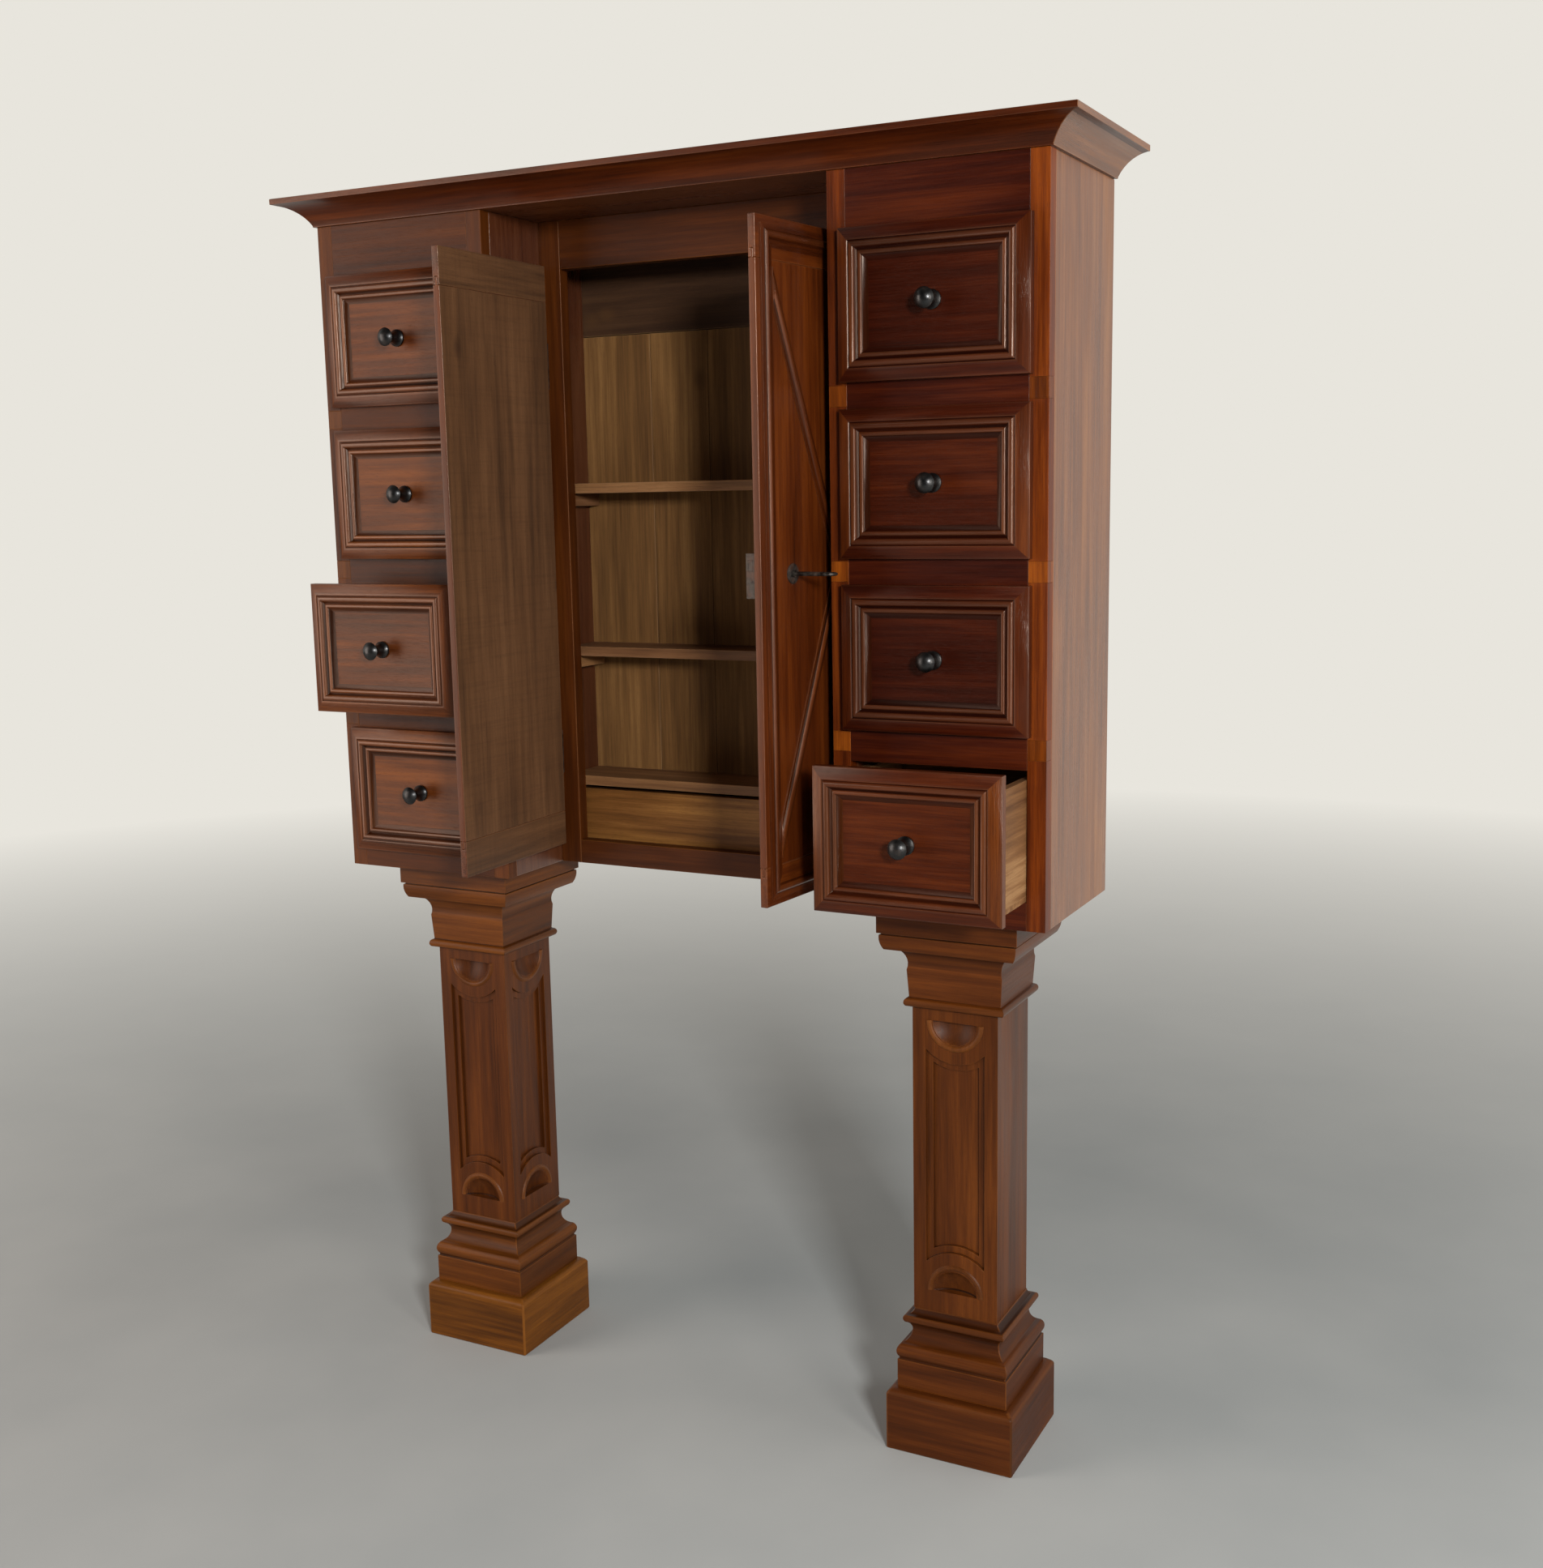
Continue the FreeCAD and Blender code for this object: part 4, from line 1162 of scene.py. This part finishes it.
for side in ("left", "right"):
    for number in range(drawers_per_bank):
        stem = side + "_drawer_" + str(number + 1)
        low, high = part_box(stem + "_front")
        place = Vector(((low.x + high.x) / 2, high.y - tongue_back, low.z + lip_drop))
        front = copy_to(front_pattern, stem + "_front_piece", place)
        hand_over(mark_wood(front, True, tone_with_highlit_uprights(front_tones_with_window_light[side][number])), stem + "_front")
        drawer = copy_to(box_pattern, stem + "_box_piece", place)
        hand_over(mark_wood(drawer, tone_of=one_tone(box_tone)), stem + "_box")
        knob = copy_to(knob_pattern, stem + "_knob_piece", place)
        hand_over(knob, stem + "_knob", knob_black)
for pattern in (front_pattern, box_pattern, knob_pattern):
    bpy.data.objects.remove(pattern)

# %% [markdown]
# ## Doors
# A door is an upright plank with a clamp tongued across each end, which keeps it flat. One block would look
# the same from afar, but the joint lines and the turn of the grain in the clamps would be missing. So the
# three boards are drawn as outlines seen from the side, each with its tongue or groove. The door is built
# closed on the right.

# %% Door boards
door_thickness = 0.011
door_gap = 0.0005
meeting_gap = 0.003
door_overlap = 0.005
clamp_height = 0.055
clamp_tongue = 0.012
clamp_tongue_thickness = 0.004
leaf_room = 0.0035
door_edge = 0.0012

door_back = cupboard_low.y - door_gap
door_front = door_back - door_thickness
free_x = meeting_gap / 2
hinge_x = half_cupboard - leaf_room
door_z0 = case_z + foot_rail_height - door_overlap
door_z1 = top_z - header_height + door_overlap


def door_boards():
    low = door_z0 + clamp_height
    high = door_z1 - clamp_height
    tongue_front = (door_front + door_back - clamp_tongue_thickness) / 2
    tongue_rear = tongue_front + clamp_tongue_thickness
    plank = [
        (door_front, low), (tongue_front, low), (tongue_front, low - clamp_tongue),
        (tongue_rear, low - clamp_tongue), (tongue_rear, low), (door_back, low),
        (door_back, high), (tongue_rear, high), (tongue_rear, high + clamp_tongue),
        (tongue_front, high + clamp_tongue), (tongue_front, high), (door_front, high),
    ]
    low_clamp = plank[:6] + [(door_back, door_z0), (door_front, door_z0)]
    high_clamp = plank[6:] + [(door_front, door_z1), (door_back, door_z1)]
    return join([slab(corners, free_x, hinge_x) for corners in (plank, low_clamp, high_clamp)])


boards_pattern = door_boards()
print("door boards:", len(boards_pattern.data.polygons), "faces")

# %% [markdown]
# ## Door mouldings
# The outer face carries a mitred border and two thin diagonals that meet in a point towards the hinges,
# like half a lozenge. All are sawn from strips, as the cornice is. The diagonals run past their ends first
# and are then sawn off along the border and where they meet, which gives the right angle at every end.

# %% Door mouldings
border_margin = 0.010
border_width = 0.030
border_height = 0.006
border_shares = [((0.0, 0.5),), ((0.25, 0.5),), ((0.43, 1.0), (0.61, 0.5)), ((0.78, 0.20), (1.0, 0.0))]
lozenge_width = 0.022
lozenge_height = 0.005
apex_share = 0.72
lozenge_shares = [((0.0, 0.3),), ((0.2, 0.3),), ((0.5, 1.0), (0.8, 0.3)), ((1.0, 0.3),), ((1.0, 0.0),)]


def mitred_border(x0, x1, z0, z1):
    """Four strips round the outer face, mitred at the corners."""
    points = outline((0, 0), border_shares, border_width, border_height)
    strips = []
    for corner, along, inward in (((x0, z0), right, up), ((x1, z0), up, -right),
                                  ((x1, z1), -right, -up), ((x0, z1), -up, right)):
        length = x1 - x0 if along.z == 0 else z1 - z0
        piece = strip(points, length)
        saw(piece, (0, 0, 0), (1, -1, 0))
        saw(piece, (length, 0, 0), (-1, -1, 0))
        strips.append(carry(piece, (corner[0], door_front, corner[1]), along, inward, -inwards))
    return strips


def lozenge(x0, x1, z0, z1):
    """Two diagonals from the corners of the free side that meet towards the hinges."""
    points = outline((0, 0), lozenge_shares, lozenge_width, lozenge_height)
    middle_z = (door_z0 + door_z1) / 2
    apex_x = free_x + apex_share * (hinge_x - free_x)
    strips = []
    for free_z, low_z, high_z in ((door_z1, middle_z, z1), (door_z0, z0, middle_z)):
        point = Vector((apex_x, door_front, middle_z))
        along = Vector((free_x, door_front, free_z)) - point
        length = along.length + 2 * lozenge_width
        along.normalize()
        inward = (-inwards).cross(along)
        piece = strip(points, length)
        carry(piece, point - along * lozenge_width - inward * lozenge_width / 2, along, inward, -inwards)
        for edge_point, keep_side in (((x0, 0, 0), right), ((x1, 0, 0), -right),
                                      ((0, 0, low_z), up), ((0, 0, high_z), -up)):
            saw(piece, edge_point, keep_side)
        strips.append(piece)
    return strips


inset = border_margin + border_width
mouldings_pattern = join(
    mitred_border(free_x + border_margin, hinge_x - border_margin,
                  door_z0 + border_margin, door_z1 - border_margin)
    + lozenge(free_x + inset, hinge_x - inset, door_z0 + inset, door_z1 - inset))
print("door mouldings:", len(mouldings_pattern.data.polygons), "faces")

# %% [markdown]
# ## Hanging the doors
# Both doors stand open on their hinge pins. The closed right door is copied, mirrored for the left, and
# turned about the pin by the angle that the frame gives, so that it lies where its solid does. Mirroring
# turns a mesh inside out, so its faces are turned outwards again. The inner faces never got polish, so
# they have a second, duller material.

# %% Hang both doors
door_tone = 0.75


def hang(pattern, node, edge):
    """Copies a pattern, mirrors it for the left door, and opens it to its rest angle."""
    side = node.split("_")[0]
    hinge = next(joint for joint in frame["joints"] if joint["name"] == side + "_door_hinge")
    piece = copy_to(pattern, node + "_piece", (0, 0, 0))
    if side == "left":
        piece.scale = (-1, 1, 1)
        face_outwards(settle(piece), False)
    soften(piece, edge)
    mark_wood(piece, tone_of=one_tone(door_tone))
    open_angle = math.radians(-hinge["range_deg"][0]) * hinge["axis"][2]
    pin = Vector(hinge["pos_m"])
    turn = Matrix.Rotation(open_angle, 4, "Z")
    put(piece, Matrix.Translation(pin) @ turn @ Matrix.Translation(-pin))
    return piece, turn @ inwards


for side in ("left", "right"):
    boards, inner_side = hang(boards_pattern, side + "_door_boards", door_edge)
    boards.data.materials.append(woods["walnut_front"])
    boards.data.materials.append(woods["walnut_door"])
    for face in boards.data.polygons:
        face.material_index = 1 if face.normal.dot(inner_side) > facing_share else 0
    hand_over(boards, side + "_door_boards")
    mouldings, inner_side = hang(mouldings_pattern, side + "_door_mouldings", strip_edge / 2)
    hand_over(mouldings, side + "_door_mouldings", woods["walnut_front"])
for pattern in (boards_pattern, mouldings_pattern):
    bpy.data.objects.remove(pattern)

# %% [markdown]
# ## Pillars
# Plinth, base and capital are square blocks whose mouldings run round all four sides. Four strips with
# mitred ends would do, but the outline can be drawn once along a corner and spun in four steps, which makes
# the square and its mitres in one go. The outlines' sideways shares run from the shaft's face to the block's
# widest point.

# %% Square moulded blocks
shaft_width = 0.133
capital_shares = [
    ((0.28, 0.036), (0.22, 0.072)), ((0.116, 0.085),), ((0.18, 0.36),),
    ((0.27, 0.53), (0.46, 0.58)), ((0.80, 0.585),), ((0.91, 0.655), (0.93, 0.735)),
    ((0.87, 0.735),), ((0.87, 0.755),), ((1.0, 0.755),), ((1.0, 1.0),),
]
base_shares = [
    ((0.94, 0.363),), ((0.83, 0.363),), ((0.83, 0.387),), ((1.0, 0.46), (0.81, 0.548)),
    ((0.30, 0.62), (0.125, 0.726)), ((0.24, 0.79), (0.52, 0.83)), ((0.65, 0.875), (0.55, 0.92)),
    ((0.17, 0.94), (0.0, 1.0)),
]
capital_foot_share = 0.22
base_foot_share = 0.94
# The left pillar's blocks get higher tones than the right ones: painted light, for the window light from the left.
block_tones_with_window_light = {"left_pillar_plinth": 0.95, "left_pillar_base": 0.6, "left_pillar_capital": 0.55}
usual_block_tone = 0.36


def square_block(node, points, edge):
    """Spins an outline of half widths and heights round the pillar's axis in four steps."""
    low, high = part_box(node)
    middle = (low + high) / 2
    path = [Vector((middle.x, middle.y, low.z + points[0].y))]
    path += [Vector((middle.x + half, middle.y + half, low.z + rise)) for half, rise in points]
    path.append(Vector((middle.x, middle.y, low.z + points[-1].y)))
    piece = draw(path, False)
    bpy.ops.mesh.spin(steps=4, angle=2 * math.pi, center=(middle.x, middle.y, 0), axis=(0, 0, 1))
    face_outwards(piece)
    soften(piece, edge)
    piece.name = node + "_piece"
    mark_wood(piece, True, one_tone(block_tones_with_window_light.get(node, usual_block_tone)))
    return hand_over(piece, node)


def moulded_points(node, start_share, shares):
    low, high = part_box(node)
    overhang = (high.x - low.x) / 2 - shaft_width / 2
    points = outline((start_share, 0), shares, overhang, high.z - low.z)
    return [point + Vector((shaft_width / 2, 0)) for point in points]


print("outlines of", len(capital_shares), "and", len(base_shares), "stretches")

# %% Plinths, bases and capitals
plinth_bevel_width = 0.008
plinth_bevel_height = 0.006
plinth_edge = 0.003
base_edge = 0.0014
capital_edge = 0.0006

for side in ("left", "right"):
    stem = side + "_pillar_"
    plinth_low, plinth_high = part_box(stem + "plinth")
    half = (plinth_high.x - plinth_low.x) / 2
    height = plinth_high.z - plinth_low.z
    plinth_points = [Vector((half, 0)), Vector((half, height - plinth_bevel_height)),
                     Vector((half - plinth_bevel_width, height))]
    square_block(stem + "plinth", plinth_points, plinth_edge)
    square_block(stem + "base", moulded_points(stem + "base", base_foot_share, base_shares), base_edge)
    square_block(stem + "capital", moulded_points(stem + "capital", capital_foot_share, capital_shares),
                 capital_edge)

# %% [markdown]
# ## Panelled shafts
# A carver sinks a stepped panel into the front and inner face of each shaft, scoops a half-round hollow at
# both ends and leaves a raised bead round it. Insets alone can't follow the hollowed ends. So the shaft is a
# block, and Boolean modifiers take away the two panel outlines and the scoops, as chisel and gouge do.

# %% Cutters for panels and lunettes
lunette_radius = 0.035
lunette_depth = 0.013
lunette_top = 0.020
lunette_foot = 0.034
overrun = 0.005
scoop_rings = 64


def panel_cutter(half, radius, depth, height):
    """A panel whose ends are hollowed round the two lunettes."""
    low = lunette_foot
    high = height - lunette_top
    rise = math.sqrt(radius ** 2 - half ** 2)
    corner = Vector((half, high - rise))
    points = [Vector((half, low + rise)), corner]
    points += arc_points(corner, (0, high - radius), (-half, high - rise))
    points.append(Vector((-half, low + rise)))
    points += arc_points(points[-1], (0, low + radius), (half, low + rise))[:-1]
    return draw_prism([Vector((point.x, -overrun, point.y)) for point in points],
                      Vector((0, depth + overrun, 0)))


def lunette_cutter(middle_z, side):
    """Half of a shallow ball, above or below its middle."""
    ball_radius = (lunette_radius ** 2 + lunette_depth ** 2) / (2 * lunette_depth)
    clear_selection()
    bpy.ops.mesh.primitive_uv_sphere_add(segments=scoop_rings, ring_count=scoop_rings, radius=ball_radius,
                                         location=(0, lunette_depth - ball_radius, middle_z))
    ball = settle(bpy.context.object)
    saw(ball, (0, -overrun, middle_z), inwards)
    return face_outwards(saw(ball, (0, 0, middle_z), up * side))


def carve(shaft, cutter):
    take(shaft)
    cut = shaft.modifiers.new("cut", "BOOLEAN")
    cut.operation = "DIFFERENCE"
    cut.object = cutter
    bpy.ops.object.modifier_apply(modifier=cut.name)
    bpy.data.objects.remove(cutter)


print("lunettes are", 2000 * lunette_radius, "mm wide")

# %% [markdown]
# ## Beads and finished shafts
# The bead round a lunette is a half ring. A torus would have to be cut in two, so a small circle is spun
# half way round and closed at both ends. The two carved faces are made alike: each tool is made for a face
# that looks to the front, and then turned about the shaft's axis.

# %% Pillar shafts
panel_half = 0.046
panel_border = 0.010
panel_step = 0.005
panel_end_radius = 0.064
bead_radius = 0.005
bead_gap = 0.0005
bead_sink = 0.0025
bead_corners = 12
carved_crease = math.radians(14)
shaft_tone = 0.42
pillar_y = sum(corner.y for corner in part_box("right_pillar_plinth")) / 2


def lunette_bead(middle_z, side):
    """A half ring, closed at both ends."""
    ring_radius = lunette_radius + bead_gap + bead_radius
    clear_selection()
    bpy.ops.mesh.primitive_circle_add(vertices=bead_corners, radius=bead_radius,
                                      location=(ring_radius, bead_sink, middle_z))
    bead = settle(bpy.context.object)
    edit_all(bead)
    bpy.ops.mesh.spin(steps=scoop_rings // 2, angle=math.pi * side,
                      center=(0, bead_sink, middle_z), axis=(0, 1, 0))
    bpy.ops.mesh.select_all(action="SELECT")
    bpy.ops.mesh.fill_holes(sides=bead_corners)
    return face_outwards(bead)


def shaft_piece(node, inner_turn):
    """A shaft whose front and inner faces are carved alike."""
    low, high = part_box(node)
    height = high.z - low.z
    half = shaft_width / 2
    shaft = add_boards([span(-half, half, -half, half, 0, height)])
    beads = []
    for degrees in (0, inner_turn):
        to_face = Matrix.Rotation(math.radians(degrees), 4, "Z") @ Matrix.Translation((0, -half, 0))
        for end_z, side in ((lunette_foot, 1), (height - lunette_top, -1)):
            carve(shaft, put(lunette_cutter(end_z, side), to_face))
            beads.append(put(lunette_bead(end_z, side), to_face))
        for inset, radius, depth in ((0, panel_end_radius, panel_step),
                                     (panel_border, panel_end_radius + panel_border, 2 * panel_step)):
            carve(shaft, put(panel_cutter(panel_half - inset, radius, depth, height), to_face))
    soften(shaft, strip_edge, crease=carved_crease)
    join([shaft] + beads)
    middle = (low + high) / 2
    shaft.location = (middle.x, pillar_y, low.z)
    settle(shaft)
    shaft.name = node + "_piece"
    mark_wood(shaft, tone_of=one_tone(shaft_tone))
    return hand_over(shaft, node)


shaft_piece("right_pillar_shaft", -90)
shaft_piece("left_pillar_shaft", 90)

# %% [markdown]
# ## Floor
# The room is a plain pale studio. A curved backdrop could close it off, but a floor that fades into the pale
# background with distance needs no edge at all and still takes the cabinet's shadow. The fade is only for
# rays that come from the camera, or from shiny wood that mirrors what lies behind the cabinet.

# %% Floor
floor_size = 60.0
fade_start = 1.2
fade_end = 6.0
mirror_start = 0.3
mirror_end = 1.2
backdrop = paint(232, 229, 221)


def floor_paint():
    material, tree, surface = new_material("pale floor")
    place = add_node(tree, "TexCoord", {}).outputs["Object"]
    mottle = add_noise(tree, place, (2.5, 2.5, 2.5), 4)
    colour = add_ramp(tree, mottle, [(0.3, paint(176, 180, 179)), (0.7, paint(186, 189, 187))])
    tree.links.new(colour, surface.inputs["Base Color"])
    surface.inputs["Roughness"].default_value = 0.8
    reach = add_node(tree, "VectorMath", {0: place}, operation="LENGTH").outputs["Value"]
    far = add_node(tree, "Emission", {"Color": backdrop}).outputs["Emission"]
    ray = add_node(tree, "LightPath", {}).outputs
    depth = add_node(tree, "SeparateXYZ", {"Vector": place}).outputs["Y"]
    straight = add_math(tree, "ADD", ray["Is Camera Ray"], ray["Is Transmission Ray"])
    seen = add_math(tree, "MULTIPLY", add_range(tree, reach, fade_start, fade_end, 0, 1), straight)
    behind = add_range(tree, depth, mirror_start, mirror_end, 0, 1)
    mirrored = add_math(tree, "MULTIPLY", behind, ray["Is Glossy Ray"])
    fade = add_math(tree, "MAXIMUM", seen, mirrored)
    sweep = add_node(tree, "MixShader", {0: fade, 1: surface.outputs["BSDF"], 2: far})
    tree.links.new(sweep.outputs["Shader"], tree.nodes["Material Output"].inputs["Surface"])
    return material


clear_selection()
bpy.ops.mesh.primitive_plane_add(size=floor_size)
floor = bpy.context.object
floor.name = "floor"
floor.data.materials.append(floor_paint())
print("floor fades from", fade_start, "to", fade_end, "m")

# %% [markdown]
# ## The room around it
# The world gives a little even light, and the camera sees it as the pale background. Polished wood mirrors
# its room, and a white room all round would turn dark fronts grey. So mirrored rays see pale walls at the
# sides and behind the cabinet and a dim room in front of it, which keeps the fronts deep in colour.

# %% World
fill_level = 0.15
dim_level = 0.02
side_wall_level = 0.85
back_wall_level = 0.9
side_wall_shares = (0.48, 0.95)
back_wall_shares = (-0.2, 0.4)
wall_colour = paint(236, 234, 228)
fill_colour = paint(240, 238, 234)

world = bpy.data.worlds.new("studio")
bpy.context.scene.world = world
world.use_nodes = True
room = world.node_tree
room.nodes.clear()
path = add_node(room, "LightPath", {})
direction = add_node(room, "TexCoord", {}).outputs["Generated"]
parts = add_node(room, "SeparateXYZ", {"Vector": direction}).outputs
sideways = add_math(room, "ABSOLUTE", parts["X"], 0)
sides = add_range(room, sideways, *side_wall_shares, dim_level, side_wall_level)
behind = add_range(room, parts["Y"], *back_wall_shares, dim_level, back_wall_level)
mirrored_level = add_math(room, "MAXIMUM", sides, behind)
seen = add_node(room, "Background", {"Color": backdrop, "Strength": 1.0}).outputs["Background"]
mirrored = add_node(room, "Background", {"Color": wall_colour, "Strength": mirrored_level})
fill = add_node(room, "Background", {"Color": fill_colour, "Strength": fill_level})
sharp = add_math(room, "ADD", path.outputs["Is Glossy Ray"], path.outputs["Is Transmission Ray"])
first = add_node(room, "MixShader", {0: sharp, 1: fill.outputs[0], 2: mirrored.outputs[0]})
second = add_node(room, "MixShader", {0: path.outputs["Is Camera Ray"], 1: first.outputs[0], 2: seen})
add_node(room, "OutputWorld", {"Surface": second.outputs[0]})
print("world nodes:", len(room.nodes))

# %% [markdown]
# ## Lights
# A wide warm light stands for a window at the left and lays a sheen on the left drawers. A small lamp at the
# right front puts the sparks on knobs and mouldings, a narrow window light follows the uprights, and a wide
# pale light behind it brightens the faded side. Sun lamps would be simpler, but only lights with a size give
# soft shadows and a sheen with soft ends.

# %% Lights
case_middle = (0, 0, 1.2)
light_plan = {
    "window": {"place": (-2.3, -2.0, 1.45), "aim": (-0.5, -0.1, 1.2), "width": 1.8, "height": 2.4,
               "watts": 52, "tint": (1.0, 0.86, 0.78)},
    "lamp": {"place": (2.7, -3.1, 2.1), "aim": case_middle, "width": 0.5, "height": 0.5, "watts": 135},
    "right_window": {"place": (3.0, -1.7, 1.6), "aim": (0.45, -0.1, 1.4), "width": 0.6, "height": 1.8,
                     "watts": 28, "tint": (1.0, 0.92, 0.84)},
    "right_wall": {"place": (3.4, 0.6, 1.6), "aim": case_middle, "width": 2.0, "height": 2.2, "watts": 22},
}


def add_light(name, place, aim, width, height, watts, tint=(1, 1, 1)):
    clear_selection()
    bpy.ops.object.light_add(type="AREA", location=place)
    lamp = bpy.context.object
    lamp.name = name
    lamp.rotation_euler = (Vector(aim) - Vector(place)).to_track_quat("-Z", "Y").to_euler()
    lamp.data.shape = "RECTANGLE"
    lamp.data.size = width
    lamp.data.size_y = height
    lamp.data.energy = watts
    lamp.data.color = tint
    lamp.visible_camera = False
    print(name, watts, "W")
    return lamp


for name, plan in light_plan.items():
    add_light(name, **plan)

# %% [markdown]
# ## Camera
# The camera stands to the right of the cabinet at a person's eye height, looks a little down and leans by
# one degree, as a picture taken from the hand does. A tracking constraint could aim it, but three plain
# angles keep the lean and are easy to change.

# %% Camera
camera_place = (1.3255, -2.27035, 1.4437)
camera_turn_degrees = (80.557, 1.059, 27.163)
camera_lens = 39.87

clear_selection()
bpy.ops.object.camera_add(location=camera_place)
camera = bpy.context.object
camera.rotation_euler = [math.radians(angle) for angle in camera_turn_degrees]
camera.data.lens = camera_lens
bpy.context.scene.camera = camera
bpy.context.scene.view_settings.view_transform = "Standard"
print("lens", camera.data.lens, "mm")
